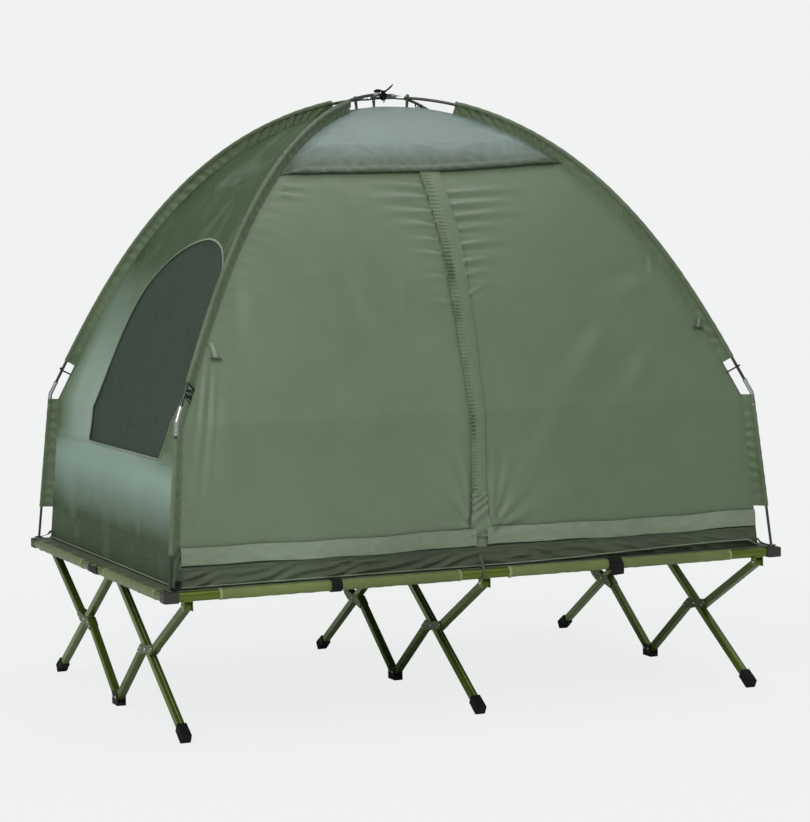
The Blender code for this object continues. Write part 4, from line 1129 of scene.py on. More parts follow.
@dataclass
class Panel:
    """One cut of tent cloth: a grid of places on a wall, dressed and built as a thin sheet."""

    name: str
    grid: np.ndarray
    finish: Any
    thickness: float = 0.0010
    body: str = "tent"
    closed: bool = False
    flip: bool = False
    held: str = "stretched"
    rests_on: Tuple[str, ...] = ("pole_over", "pole_under")
    cut: Optional[Tuple[float, float]] = None

    def flat(self) -> Tuple[float, float, float]:
        """Measure the cloth as it is cut.

        Returns:
            Its flat width, length and area.
        """
        grid = np.concatenate((self.grid, self.grid[:, :1]), axis=1) if self.closed else self.grid
        width = np.linalg.norm(np.diff(grid, axis=1), axis=2).sum(axis=1).max()
        length = np.linalg.norm(np.diff(grid, axis=0), axis=2).sum(axis=0).max()
        one, two = grid[1:, 1:] - grid[:-1, :-1], grid[1:, :-1] - grid[:-1, 1:]
        area = np.linalg.norm(np.cross(one, two), axis=2).sum() / 2
        width, length = self.cut or (width, length)
        return float(width), float(length), float(area)

    def build(self, replaced: Sequence[str] = ()) -> bpy.types.Object:
        """Make the panel.

        Args:
            replaced: The solid parts that it stands for.

        Returns:
            The new object.
        """
        made = Shop.shell(self.name, self.grid, self.thickness, self.finish, self.body,
                          self.closed, self.flip)
        if replaced:
            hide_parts(*replaced)
        width, length, area = self.flat()
        log.info("%s: %.3f x %.3f m, %.3f m2", self.name, width, length, area)
        return made


def strip(name: str, side: Side, path: Sequence, width: Numbers, lift: float, thickness: float,
          finish: Any, closed: bool = False, ripple: float = 0.0, body: str = "tent",
          columns: int = 7, crown: float = 0.0) -> bpy.types.Object:
    """Sew a narrow band to a wall, such as a hem, a binding or a seam.

    Args:
        name: The band's name.
        side: The wall.
        path: Its middle line, as places across the wall and heights.
        width: How wide it is, or a width for each place.
        lift: How far its face stands proud of the cloth.
        thickness: How thick it is.
        finish: The finish that it gets.
        closed: Whether it is a ring.
        ripple: The height of its small puckers.
        body: The body that carries it.
        columns: How many points its width has.
        crown: How much further its middle stands proud.

    Returns:
        The new object.
    """
    path = np.asarray(path, float)
    way = heading(path, closed)
    aside = np.stack((-way[:, 1], way[:, 0]), axis=1)
    share = np.linspace(-0.5, 0.5, columns)[:, None]
    wide = np.broadcast_to(np.asarray(width, float), (len(path),))[None, :]
    across = path[None, :, 0] + aside[None, :, 0] * share * wide
    height = path[None, :, 1] + aside[None, :, 1] * share * wide
    lean = across + height * 1.6
    rise = lift + crown * (1 - (2 * share) ** 2)
    if ripple:
        puckers = np.abs(wander(lean, height - across * 0.4, 17, 2.0))
        waves = 1 + np.sin(lean * 95 + 7 * wander(across, height, 6, 6.0))
        rise = rise + ripple * (1.2 * puckers + 0.5 * waves)
    grid = FORM.wall(side, across, height, rise)
    return Shop.shell(name, grid, thickness, finish, body, closed)


def stitches(name: str, side: Side, paths: Sequence[Sequence], lift: float, pitch: float = 0.007,
             body: str = "tent") -> bpy.types.Object:
    """Sew rows of small stitches on a wall.

    Args:
        name: The piece's name.
        side: The wall.
        paths: The rows, each as places across the wall and heights.
        lift: How far the stitches lie above the cloth.
        pitch: How far apart they lie.
        body: The body that carries them.

    Returns:
        The new object.
    """
    half, wide, tall = pitch * 0.34, 0.0005, 0.0005
    ends = []
    for path in paths:
        path = np.asarray(path, float)
        run = distances(path)
        middle = np.arange(pitch, run[-1] - pitch, pitch)
        for shift in (-half, 0.0, half):
            ends.append(np.stack((np.interp(middle + shift, run, path[:, 0]),
                                  np.interp(middle + shift, run, path[:, 1])), axis=1))
    starts = np.concatenate(ends[0::3])
    middles = np.concatenate(ends[1::3])
    stops = np.concatenate(ends[2::3])
    aside = unit(stops - starts)[:, ::-1] * np.array((-1.0, 1.0)) * wide
    outline = ((starts, 0.0), (middles + aside, 0.0), (stops, 0.0), (middles - aside, 0.0),
               (middles, tall), (middles, -tall))
    rings = [FORM.wall(side, place[:, 0], place[:, 1], lift + rise) for place, rise in outline]
    points = np.stack(rings, axis=1)
    shape = np.array(((0, 3, 4), (3, 2, 4), (2, 1, 4), (1, 0, 4),
                      (3, 0, 5), (2, 3, 5), (1, 2, 5), (0, 1, 5)))
    faces = (shape[None] + 6 * np.arange(len(points))[:, None, None]).reshape(-1, 3)
    return Shop.piece(name, points, faces, FINISHES.thread, body)


@dataclass
class WindowForm:
    """The outline of an end wall's window: a straight foot and a leaning arch."""

    foot_rise: float = 0.3400
    near_foot: float = 0.447
    arch: Tuple[Tuple[float, float], ...] = (
        (0.494, 0.385), (0.534, 0.440), (0.556, 0.500), (0.556, 0.560), (0.544, 0.620),
        (0.525, 0.680), (0.502, 0.740), (0.474, 0.802), (0.432, 0.855), (0.368, 0.899),
        (0.294, 0.930), (0.205, 0.948), (0.114, 0.953), (0.015, 0.940), (-0.081, 0.911),
        (-0.156, 0.869), (-0.212, 0.815), (-0.240, 0.756), (-0.249, 0.679), (-0.246, 0.603),
        (-0.242, 0.516), (-0.247, 0.446), (-0.262, 0.386), (-0.284, 0.340))
    middle: Tuple[float, float] = (0.150, 0.620)
    turns: int = 260

    def outline(self, mirror: int) -> np.ndarray:
        """The window's edge as places across the wall and heights, anticlockwise.

        Args:
            mirror: 1 for the left wall as seen from outside, -1 for the right.

        Returns:
            The points of the edge.
        """
        arch = smooth_path(self.arch, 0.01)
        side = np.linspace((self.near_foot, self.foot_rise), self.arch[0], 8)[:-1]
        foot = np.linspace(self.arch[-1], (self.near_foot, self.foot_rise), 60)[1:-1]
        edge = np.concatenate((side, arch, foot))
        edge[:, 1] += FORM.floor_height
        edge[:, 0] *= mirror
        return edge if mirror > 0 else edge[::-1]

    def centre(self, mirror: int) -> np.ndarray:
        """A place inside the window that sees all of its edge."""
        return np.array((self.middle[0] * mirror, FORM.floor_height + self.middle[1]))


@dataclass
class EndWall:
    """An end wall with its net window, bindings and seams."""

    side: Side
    window: WindowForm = field(default_factory=WindowForm)
    seam_height: float = 0.765
    seam_width: float = 0.010
    binding_width: float = 0.0055
    net_lap: float = 0.010
    net_sag: float = 0.006

    @property
    def mirror(self) -> int:
        """Which way round the window is: 1 for the left wall, -1 for the right."""
        return 1 if self.side is Side.LEFT else -1

    def rays(self) -> Tuple[np.ndarray, np.ndarray, np.ndarray]:
        """Look out from the window's middle in every direction.

        Returns:
            The angles, how far the window's edge lies, and how far the wall's.
        """
        edge = self.window.outline(self.mirror)
        centre = self.window.centre(self.mirror)
        away = edge - centre
        angle = np.arctan2(away[:, 1], away[:, 0])
        order = np.argsort(angle)
        angle, far = angle[order], np.linalg.norm(away, axis=1)[order]
        low = FORM.floor_height + 0.001
        half = float(FORM.half_width(self.side, low))
        corners = np.array(((half, low), (-half, low), (0.0, FORM.top))) - centre
        extra = np.arctan2(corners[:, 1], corners[:, 0])
        even = np.linspace(-math.pi, math.pi, self.window.turns, endpoint=False)
        picks = np.linspace(0, len(angle) - 1, 40).astype(int)
        sample = np.unique(np.concatenate((even, extra, angle[picks])))
        keep = np.concatenate(([True], np.diff(sample) > 1e-4))
        sample = sample[keep]
        near = np.interp(sample, angle, far, period=2 * math.pi)
        inside, outside = near.copy(), np.full(len(sample), 2.0)
        for _ in range(40):
            middle = (inside + outside) / 2
            across = centre[0] + np.cos(sample) * middle
            height = centre[1] + np.sin(sample) * middle
            fits = ((np.abs(across) <= FORM.half_width(self.side, height)) & (height >= low)
                    & (height <= FORM.top))
            inside = np.where(fits, middle, inside)
            outside = np.where(fits, outside, middle)
        return sample, near, inside

    def places(self, sample: np.ndarray, near: np.ndarray, far: np.ndarray,
               shares: np.ndarray) -> Tuple[np.ndarray, np.ndarray]:
        """Find places between two rings round the window's middle.

        Args:
            sample: The angles.
            near: How far the inner ring lies at each angle.
            far: How far the outer ring lies.
            shares: How far from the inner ring to the outer one each row lies.

        Returns:
            How far across the wall the places are, and their heights.
        """
        centre = self.window.centre(self.mirror)
        reach = near[None, :] + (far - near)[None, :] * shares[:, None]
        return centre[0] + np.cos(sample) * reach, centre[1] + np.sin(sample) * reach

    def cut(self, grid: np.ndarray) -> Tuple[float, float]:
        """Measure the flat cloth that a grid is cut from.

        Args:
            grid: Points of the cloth.

        Returns:
            Its width, and its length up the wall.
        """
        levels = FORM.levels(grid[..., 2].min(), grid[..., 2].max(), 0.01)
        upright = FORM.wall(self.side, 0.0, levels, plain=True)
        return float(np.ptp(grid[..., 1])), path_length(upright)

    def build(self) -> None:
        """Make the wall's cloth, net, bindings and stitches."""
        word = self.side.word
        sample, near, far = self.rays()
        shares = 1 - (1 - np.linspace(0, 1, 62)) ** 1.6
        across, height = self.places(sample, near, far, shares)
        grid = FORM.wall(self.side, across, height)
        Panel(word + "_end_cloth", grid, FINISHES.end, closed=True, flip=True,
              cut=self.cut(grid)).build((word + "_end_wall",))
        self.build_net(sample, near)
        edge = self.window.outline(self.mirror)
        strip(word + "_window_binding", self.side, edge, self.binding_width, 0.0014, 0.0030,
              FINISHES.hem, True, crown=0.0008)
        self.build_seams(edge)
        log.info("%s end wall: %d rays", word, len(sample))

    def build_net(self, sample: np.ndarray, near: np.ndarray) -> None:
        """Stretch the net behind the window's edge.

        Args:
            sample: Angles round the window's middle.
            near: How far the window's edge lies at each.
        """
        shares = np.linspace(0.0015, 1, 26)
        across, height = self.places(sample, np.zeros_like(near), near + self.net_lap, shares)
        sag = self.net_sag * (1 - shares[:, None] ** 2)
        slack = -0.0022 - sag + 0.002 * wander(across, height, 6, 9.0)
        grid = FORM.wall(self.side, across, height, slack)
        name = self.side.word + "_window_mesh"
        Panel(name, grid, FINISHES.net, thickness=0.0005, closed=True, flip=True,
              cut=self.cut(grid)).build((self.side.word + "_window_net",))

    def build_seams(self, edge: np.ndarray) -> None:
        """Sew the level seams beside the window, and the stitches.

        Args:
            edge: The window's edge.
        """
        word = self.side.word
        low = edge[np.isclose(edge[:, 1], edge[:, 1].min())]
        width = float(FORM.half_width(self.side, self.seam_height)) - 0.004
        rows = []
        for name, start, end in (("first", -width, low[:, 0].min() + 0.004),
                                 ("second", low[:, 0].max() - 0.004, width)):
            line = np.linspace((start, self.seam_height), (end, self.seam_height + 0.006), 40)
            strip(word + "_window_seam_" + name, self.side, line, self.seam_width, 0.0010, 0.0016,
                  FINISHES.end, crown=0.0004)
            rows += [line + (0, 0.0032), line - (0, 0.0032)]
        middle = self.window.centre(self.mirror)
        out = unit(edge - middle)
        ring = np.concatenate((edge + out * 0.0065, (edge + out * 0.0065)[:1]))
        stitches(word + "_seam_stitches", self.side, rows, 0.0018)
        stitches(word + "_window_edge_stitches", self.side, (ring,), 0.0006)


@dataclass
class FrontWall:
    """The roof panel with its eave, the door's two halves, and what is sewn to them."""

    side: Side = Side.FRONT
    door_head: float = 1.5757
    door_foot: float = 0.490
    zip_x: float = 0.010
    hinge_foot_x: float = 0.894
    hem_low: float = 0.493
    hem_high: float = 0.541
    flap_foot: float = 0.636
    patch_foot: float = 0.519
    eave_tilt: float = 0.022
    hem_reach: float = 0.900
    hem_starts: Tuple[float, float] = (-0.014, 0.022)
    toggles: Tuple[Tuple[float, float], ...] = ((-0.765, 1.102), (0.781, 1.130))
    keep: float = 0.12

    def seam_x(self, height: np.ndarray, way: int) -> np.ndarray:
        """Where a door half meets the fixed cloth beside it."""
        share = (self.door_head - height) / (self.door_head - self.door_foot)
        return self.zip_x + (way * self.hinge_foot_x - self.zip_x) * share

    def gather(self, made: bpy.types.Object, way: int) -> None:
        """Give a piece of one door half its own mesh; the direction across its sewn edge is worked out
        but not used.

        Args:
            made: The piece.
            way: -1 for the left half, 1 for the right.
        """
        head = FORM.wall(self.side, self.zip_x, self.door_head, plain=True)
        foot = FORM.wall(self.side, self.zip_x, self.door_foot, plain=True)
        hinge = FORM.wall(self.side, way * self.hinge_foot_x, self.door_foot, plain=True)
        edge = unit(hinge - head)
        across = (foot - head) - edge * np.dot(foot - head, edge)
        joint = "left_door_zip" if way < 0 else "right_door_zip"
        tuple(unit(across))
        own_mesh(made)

    def build(self) -> None:
        """Make the roof, the fixed cloth, the door and its trimmings."""
        self.build_roof()
        for way, word in ((-1, "left"), (1, "right")):
            self.build_fixed(way, word)
            self.build_half(way, word)
            self.build_hem(way, word)
            self.build_toggle(way, word)
        self.build_storm_flap()
        log.info("front wall: roof, two door halves, storm flap, hems and toggles")

    def build_roof(self) -> None:
        """Make the front roof panel with its doubled eave."""
        folded = [(0.004, 0.0030), (-0.004, 0.0060), (-0.009, 0.0088), (-0.0105, 0.0108),
                  (-0.0095, 0.0124), (-0.005, 0.0128), (0.002, 0.0122), (0.0045, 0.0108),
                  (0.006, 0.0098), (0.012, 0.0093), (0.028, 0.0086), (0.045, 0.0080)]
        above = FORM.levels(self.door_head + 0.055, FORM.top, 0.007)
        heights = np.concatenate([[self.door_head + rise for rise, _ in folded], above])
        tail = 0.0074 - 0.0062 * ease((above - above[0]) / 0.12)
        lifts = np.concatenate([[lift for _, lift in folded], tail])
        share = np.linspace(-1, 1, 181)
        tilt = self.eave_tilt * np.clip(share, 0, 1)
        near = ease((self.door_head + 0.12 - heights) / 0.12)
        height = heights[:, None] + tilt[None, :] * near[:, None]
        half = FORM.half_width(self.side, np.minimum(height, FORM.top))
        across = share[None, :] * half
        edge = half - np.abs(across)
        lift = lifts[:, None] * (0.25 + 0.75 * ease(edge / 0.05))
        waves = 0.0011 * np.sin(across * 150 + height * 90 + 6 * wander(across, height, 6, 8.0))
        waves = waves + 0.0016 * wander(across * 2 + height, height * 2, 16, 21.0)
        lift = lift + waves * ease((self.door_head + 0.06 - height) / 0.07) * ease(edge / 0.05)
        grid = FORM.wall(self.side, across, height, lift)
        Panel("front_roof", grid, FINISHES.roof).build(("front_canopy",))
        level = self.door_head + tilt - 0.001
        stitch = np.stack((share * (FORM.half_width(self.side, level) - 0.03), level), axis=1)
        stitches("eave_stitches", self.side, (stitch,), 0.0130)

    def build_fixed(self, way: int, word: str) -> None:
        """Make the cloth between a door half and the sleeve beside it.

        Args:
            way: -1 for the left half, 1 for the right.
            word: The half's word in names.
        """
        levels = FORM.levels(FORM.tub_top - 0.003, self.door_head + 0.034, 0.008)
        share = np.linspace(0, 1, 70)
        seam = self.seam_x(np.clip(levels, self.door_foot, self.door_head), way)
        hip = way * FORM.half_width(self.side, levels)
        across = seam[:, None] + (hip - seam)[:, None] * share[None, :]
        height = np.repeat(levels[:, None], len(share), axis=1)
        grid = FORM.wall(self.side, across, height)
        Panel(word + "_front_cloth", grid, FINISHES.tent, flip=way < 0).build(("front_canopy",))

    def build_half(self, way: int, word: str) -> None:
        """Make one half of the door.

        Args:
            way: -1 for the left half, 1 for the right.
            word: The half's word in names.
        """
        levels = FORM.levels(self.door_foot, self.door_head - 0.004, 0.0055)
        share = np.linspace(0, 1, 150)
        seam = self.seam_x(levels, way)
        across = self.zip_x + (seam - self.zip_x)[:, None] * share[None, :]
        height = np.repeat(levels[:, None], len(share), axis=1)
        grid = FORM.wall(self.side, across, height)
        panel = Panel(word + "_door_cloth", grid, FINISHES.tent, flip=way < 0)
        self.gather(panel.build((word + "_door_flap",)), way)

    def build_hem(self, way: int, word: str) -> None:
        """Sew the crinkled band over the door's foot, and the zip under it.

        Args:
            way: -1 for the left half, 1 for the right.
            word: The half's word in names.
        """
        start, end = sorted((self.hem_starts[way > 0], way * self.hem_reach))
        middle = (self.hem_low + self.hem_high) / 2
        line = np.linspace((start, middle), (end, middle), 260)
        line[:, 1] += 0.0028 * np.sin(line[:, 0] * 7 + 1) + 0.0012 * np.sin(line[:, 0] * 26)
        width = self.hem_high - self.hem_low
        hem = strip(word + "_door_hem", self.side, line, width, 0.0066, 0.0014, FINISHES.hem,
                    ripple=0.0022, columns=13, crown=0.0016)
        rows = (line + (0, width * 0.42), line - (0, width * 0.40))
        sewn = stitches(word + "_hem_stitches", self.side, rows, 0.0080)
        self.gather(hem, way)
        self.gather(sewn, way)
        zipped = np.linspace((start, self.door_foot - 0.001), (end, self.door_foot - 0.001), 120)
        strip(word + "_zip_tape", self.side, zipped, 0.014, 0.0012, 0.0012, FINISHES.tub)
        coil = np.linspace((start, self.door_foot + 0.002), (end, self.door_foot + 0.002), 620)
        path = FORM.wall(self.side, coil[:, 0], coil[:, 1], 0.0022)
        turn = np.arange(len(path)) * 1.9
        path = path + np.outer(np.sin(turn) * 0.0013, UP)
        Shop.wire(word + "_zip_coil", path, 0.0007, FINISHES.plastic, "tent", 6)

    def build_storm_flap(self) -> None:
        """Make the band over the middle zip, gathered along its left edge, and its foot patch."""
        levels = FORM.levels(self.flap_foot, self.door_head + 0.002, 0.0022)
        marks = (0.56, 0.75, 1.16, 1.36, 1.57)
        lean = np.interp(levels, marks, (0.003, 0.005, 0.010, 0.0157, 0.001))
        half = np.interp(levels, marks, (0.0200, 0.0210, 0.0280, 0.0320, 0.0330))
        share = np.linspace(-1, 1, 19)
        height = np.repeat(levels[:, None], len(share), axis=1)
        crimp = np.sin(height * 610 + share * 1.6 + 9 * wander(height, height, 8, 4.0))
        crimp = crimp * (0.45 + 1.1 * np.abs(wander(height, height * 0.3, 9, 12.0)))
        sewn = ease((0.05 - share) / 0.6)
        across = lean[:, None] + half[:, None] * share[None, :] - 0.0016 * crimp * sewn
        bends = 0.0026 * wander(height * 1.5, share * 0.05 + height, 7, 31.0)
        lift = 0.0062 + 0.0016 * (1 - share ** 2) + 0.0034 * crimp * sewn + bends
        lift = lift + 0.0007 * wander(across * 3, height, 30, 3.0)
        grid = FORM.wall(self.side, across, height, lift)
        flap = Panel("storm_flap_cloth", grid, FINISHES.tent, thickness=0.0016).build(
            ("storm_flap",))
        self.gather(flap, 1)
        rows = (np.stack((lean + half - 0.004, levels), axis=1),)
        self.gather(stitches("storm_flap_stitches", self.side, rows, 0.0078), 1)
        levels = FORM.levels(self.patch_foot, self.flap_foot + 0.01, 0.003)
        share = np.linspace(-1, 1, 27)
        across = 0.003 + (0.023 + 0.013 * ease((0.60 - levels) / 0.08))[:, None] * share[None, :]
        height = np.repeat(levels[:, None], len(share), axis=1)
        waves = np.sin(across * 150 - height * 230 + 6 * wander(across, height, 11, 1))
        lift = 0.0072 + 0.0030 * waves
        grid = FORM.wall(self.side, across, height, lift)
        patch = Panel("storm_flap_foot", grid, FINISHES.tent, thickness=0.0014).build(
            ("storm_flap",))
        self.gather(patch, 1)

    def build_toggle(self, way: int, word: str) -> None:
        """Sew on the short strap with a bar that holds the door rolled up.

        Args:
            way: -1 for the left half, 1 for the right.
            word: The half's word in names.
        """
        middle = FORM.wall(self.side, *self.toggles[way > 0])
        out = unit(self.side.out + 0.35 * UP)
        drop = unit(np.array((0.15 if way < 0 else -0.42, -0.35, -1.0)))
        path = smooth_path([middle + out * 0.001, middle + out * 0.006 + drop * 0.012,
                            middle + out * 0.009 + drop * 0.030, middle + out * 0.008 + drop * 0.046],
                           0.003)
        Shop.ribbon(word + "_toggle_strap", path, self.side.along, 0.012, 0.0014, FINISHES.hem,
                    "tent")
        level = middle + out * 0.0085 + drop * 0.049
        share = np.linspace(-1, 1, 15)
        bar = level + np.outer(share * 0.0155, unit(self.side.along - 0.15 * UP))
        radius = 0.0036 * (1 - 0.3 * (1 - np.abs(share)) - 0.9 * np.clip(np.abs(share) - 0.9, 0, 1))
        Shop.wire(word + "_toggle_bar", bar, radius, FINISHES.toggle, "tent")


@dataclass
class BackWall:
    """The plain back wall with its seam and hem."""

    side: Side = Side.BACK

    def build(self) -> None:
        """Make the back wall's cloth and sew it."""
        levels = FORM.levels(FORM.tub_top - 0.003, FORM.top, 0.009)
        share = np.linspace(-1, 1, 201)
        across = share[None, :] * FORM.half_width(self.side, levels)[:, None]
        height = np.repeat(levels[:, None], len(share), axis=1)
        Panel("back_cloth", FORM.wall(self.side, across, height), FINISHES.tent).build(
            ("back_wall",))
        for name, level, width in (("back_seam", 1.560, 0.011), ("back_foot_hem", 0.499, 0.017)):
            half = float(FORM.half_width(self.side, level)) - 0.004
            line = np.linspace((-half, level), (half, level), 190)
            strip(name, self.side, line, width, 0.0019, 0.0024, FINISHES.hem, crown=0.0008)
            stitches(name + "_stitches", self.side,
                     (line + (0, width * 0.3), line - (0, width * 0.3)), 0.0028)
        log.info("back wall: cloth, seam and hem")


@dataclass
class Tub:
    """The tent's floor, its turned-up sides and the piping round their foot."""

    columns: int = 260
    rise: float = 0.018
    tuck: float = 0.011

    def hem_line(self, side: Side, across: np.ndarray) -> np.ndarray:
        """Find the height of the piping, which lifts off the bed at the front's right end.

        Args:
            side: The wall.
            across: How far to the right of its middle each place lies.

        Returns:
            The heights.
        """
        lifted = self.rise * ease((across - 0.05) / 0.8) if side is Side.FRONT else 0.0 * across
        edge = FORM.half_width(side, FORM.floor_height) - np.abs(across)
        return FORM.floor_height + 0.0042 + lifted * ease(edge / 0.04)

    def build(self) -> None:
        """Make the sides, the floor and the piping."""
        levels = np.linspace(FORM.floor_height + 0.0008, FORM.tub_top + 0.004, 26)
        for side in (Side.FRONT, Side.BACK):
            share = np.linspace(-1, 1, self.columns)
            across = share[None, :] * FORM.half_width(side, levels)[:, None]
            height = np.repeat(levels[:, None], self.columns, axis=1)
            under = ease((self.hem_line(side, across) - 0.003 - height) / 0.006)
            lift = -0.0006 - self.tuck * under * ease((across - 0.08) / 0.3)
            Panel(side.word + "_tub_side", FORM.wall(side, across, height, lift), FINISHES.tub,
                  rests_on=("bed_fabric",)).build(("tent_floor_tub",))
        half_x = float(FORM.half_width(Side.FRONT, FORM.floor_height)) - 0.002
        half_y = float(FORM.half_width(Side.LEFT, FORM.floor_height)) - 0.002
        x, y = np.meshgrid(np.linspace(-half_x, half_x, 90), np.linspace(-half_y, half_y, 68))
        z = FORM.floor_height + 0.0016 + 0.0006 * (1 + wander(x, y, 6, 2.0))
        Panel("tub_floor", np.stack((x, y, z), axis=2), FINISHES.tub, held="laid",
              rests_on=("bed_fabric",)).build(("tent_floor_tub",))
        parts = []
        for side in (Side.FRONT, Side.RIGHT, Side.BACK, Side.LEFT):
            across = np.linspace(-1, 1, self.columns, endpoint=False) * float(
                FORM.half_width(side, FORM.floor_height + 0.004))
            parts.append(FORM.wall(side, across, self.hem_line(side, across), 0.0022))
        Shop.wire("tub_piping", np.concatenate(parts), 0.0022, FINISHES.hem, "tent", 8, True)
        log.info("tub: sides, floor and piping")


@dataclass
class Corner:
    """One corner of the tent: its pole sleeve, ferrule, rod, lower sleeve and fastenings."""

    name: str
    way: Tuple[int, int]
    sleeve_top: float
    lower_top: float
    lower_foot: float
    tab: float
    pocket: float = 0.0070
    sleeve_foot: float = 0.985
    rod_radius: float = 0.0040
    ferrule_radius: float = 0.0062
    ferrule_drop: float = 0.038
    ferrule_reach: float = 0.045

    def sleeve(self, name: str, pole: np.ndarray, hip: np.ndarray, pucker: float,
               seed: float, fresh: float) -> bpy.types.Object:
        """Make a puckered sleeve: a round pocket with a flat fin down to the hip.

        Args:
            name: The sleeve's name.
            pole: The pocket's middle line, in the corner's upright plane.
            hip: The foot of the fin, in the same plane.
            pucker: The height of the fin's puckers.
            seed: Which puckers it gets.
            fresh: How much stronger they are at the sleeve's top.

        Returns:
            The new object.
        """
        run = distances(pole)
        depth = np.linalg.norm(hip - pole, axis=1)
        inward = (hip - pole) / depth[:, None]
        aside = FORM.cross_way(self.way)
        plenty = 0.2 + 0.9 * np.abs(wander(run, run * 0, 5.0, seed)) + fresh * np.exp(-run / 0.33)
        rings = []
        for angle in np.radians((330, 300, 260, 220, 180, 140, 100, 60, 30)):
            size = self.pocket * (1 + 0.05 * np.sin(run * 170 + angle + seed)
                                  * plenty + 0.04 * wander(run * 20, run * 0 + angle, 1.0, seed))
            rings.append((size * math.cos(angle), size * math.sin(angle)))
        fins = (0.40, 0.52, 0.64, 0.76, 0.88, 1.04)
        flat = []
        for share in fins:
            phase = run * 2 * math.pi / 0.036 + 9.0 * wander(run, run * 0 + share * 0.1, 7.0, seed)
            wave = pucker * plenty * np.sin(phase - share * 4.2) * math.sin(
                min(1.0, share) * math.pi * 0.82)
            flat.append((share * depth, wave))
        section = rings + [(deep, wave + 0.0011) for deep, wave in flat]
        section += [(deep, wave - 0.0011) for deep, wave in reversed(flat)]
        base, fin = FORM.spot(self.way, pole), FORM.spot(self.way, inward)
        stations = np.stack([base + fin * np.asarray(deep)[..., None] * np.ones((len(run), 1))
                             + np.asarray(wide)[..., None] * aside * np.ones((len(run), 1))
                             for deep, wide in section], axis=1)
        made = Shop.sweep(name, stations, FINISHES.sleeve, "tent")
        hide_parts(*self.walls())
        return made

    def walls(self) -> Tuple[str, str]:
        """The two solid walls that share this corner's sleeve."""
        end = "left_end_wall" if self.way[0] < 0 else "right_end_wall"
        return end, "front_canopy" if self.way[1] < 0 else "back_wall"

    def build(self) -> None:
        """Make everything at this corner."""
        steps = len(FORM.pole) - 1
        first = int(self.sleeve_top * steps)
        last = int(np.argmin(np.abs(FORM.hip[:, 1] - self.sleeve_foot)))
        index = np.linspace(first, last, 300)
        order = np.arange(steps + 1)
        pole = np.stack([np.interp(index, order, FORM.pole[:, at]) for at in (0, 1)], axis=1)
        hip = np.stack([np.interp(index, order, FORM.hip[:, at]) for at in (0, 1)], axis=1)
        seed = 2.0 + 3.7 * list(CORNERS).index(self.name)
        self.sleeve(self.name + "_pole_sleeve", pole, hip, 0.0034, seed, 0.9)
        level = np.linspace(self.lower_top, self.lower_foot, 110)
        rod = np.stack((self.rod_at(level), level), axis=1)
        low_hip = np.stack((np.interp(level, FORM.line[:, 1], FORM.line[:, 0]), level), axis=1)
        self.sleeve(self.name + "_rod_sleeve", rod, low_hip, 0.0030, seed + 1, 0.5)
        self.build_rod()
        self.build_elbow()
        self.build_loop()
        self.build_tabs()
        log.info("%s corner: sleeves, rod, ferrule, fastenings, webbing and tab", self.name)

    def rod_at(self, height: Numbers) -> np.ndarray:
        """How far from the middle the upright rod is at a height."""
        elbow = FORM.pole[-1]
        return np.interp(height, (FORM.rod_foot_height, elbow[1]), (FORM.foot_radius, elbow[0]))

    def build_rod(self) -> None:
        """Make the upright rod, the bent ferrule and the ringed hole at the rod's foot."""
        elbow, before = FORM.pole[-1], FORM.pole[-2]
        foot = np.array((FORM.foot_radius, FORM.rod_foot_height))
        rod = np.linspace(foot, elbow + (foot - elbow) * 0.03, 60)
        made = Shop.wire(self.name + "_rod", FORM.spot(self.way, rod), self.rod_radius,
                         FINISHES.pole, "tent")
        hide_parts(self.name + "_corner_rod")
        upward = unit(elbow - foot)
        along = unit(before - elbow)
        bend = smooth_path([elbow - upward * self.ferrule_drop, elbow - upward * 0.014,
                            elbow + (along - upward) * 0.0005, elbow + along * 0.015,
                            elbow + along * self.ferrule_reach], 0.0025)
        run = np.linspace(0, 1, len(bend))
        lip = np.where((run < 0.05) | (run > 0.95), 0.0007, 0.0) - np.where(
            (np.abs(run - 0.16) < 0.02) | (np.abs(run - 0.84) < 0.02), 0.0007, 0.0)
        made = Shop.wire(self.name + "_ferrule", FORM.spot(self.way, bend),
                         self.ferrule_radius + lip, FINISHES.steel, "tent", 20)
        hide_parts(self.name + "_corner_rod")
        turn = np.linspace(0, 2 * math.pi, 28, endpoint=False)
        middle = FORM.spot(self.way, foot)
        for part, radius, wire, rise in (("grommet", 0.0075, 0.0019, 0.0020),
                                         ("grommet_collar", 0.0062, 0.0013, 0.0046)):
            ring = middle + np.stack((np.cos(turn) * radius, np.sin(turn) * radius,
                                      np.full(len(turn), rise)), axis=1)
            Shop.wire(self.name + "_" + part, ring, wire, FINISHES.steel, "tent", 10, True)

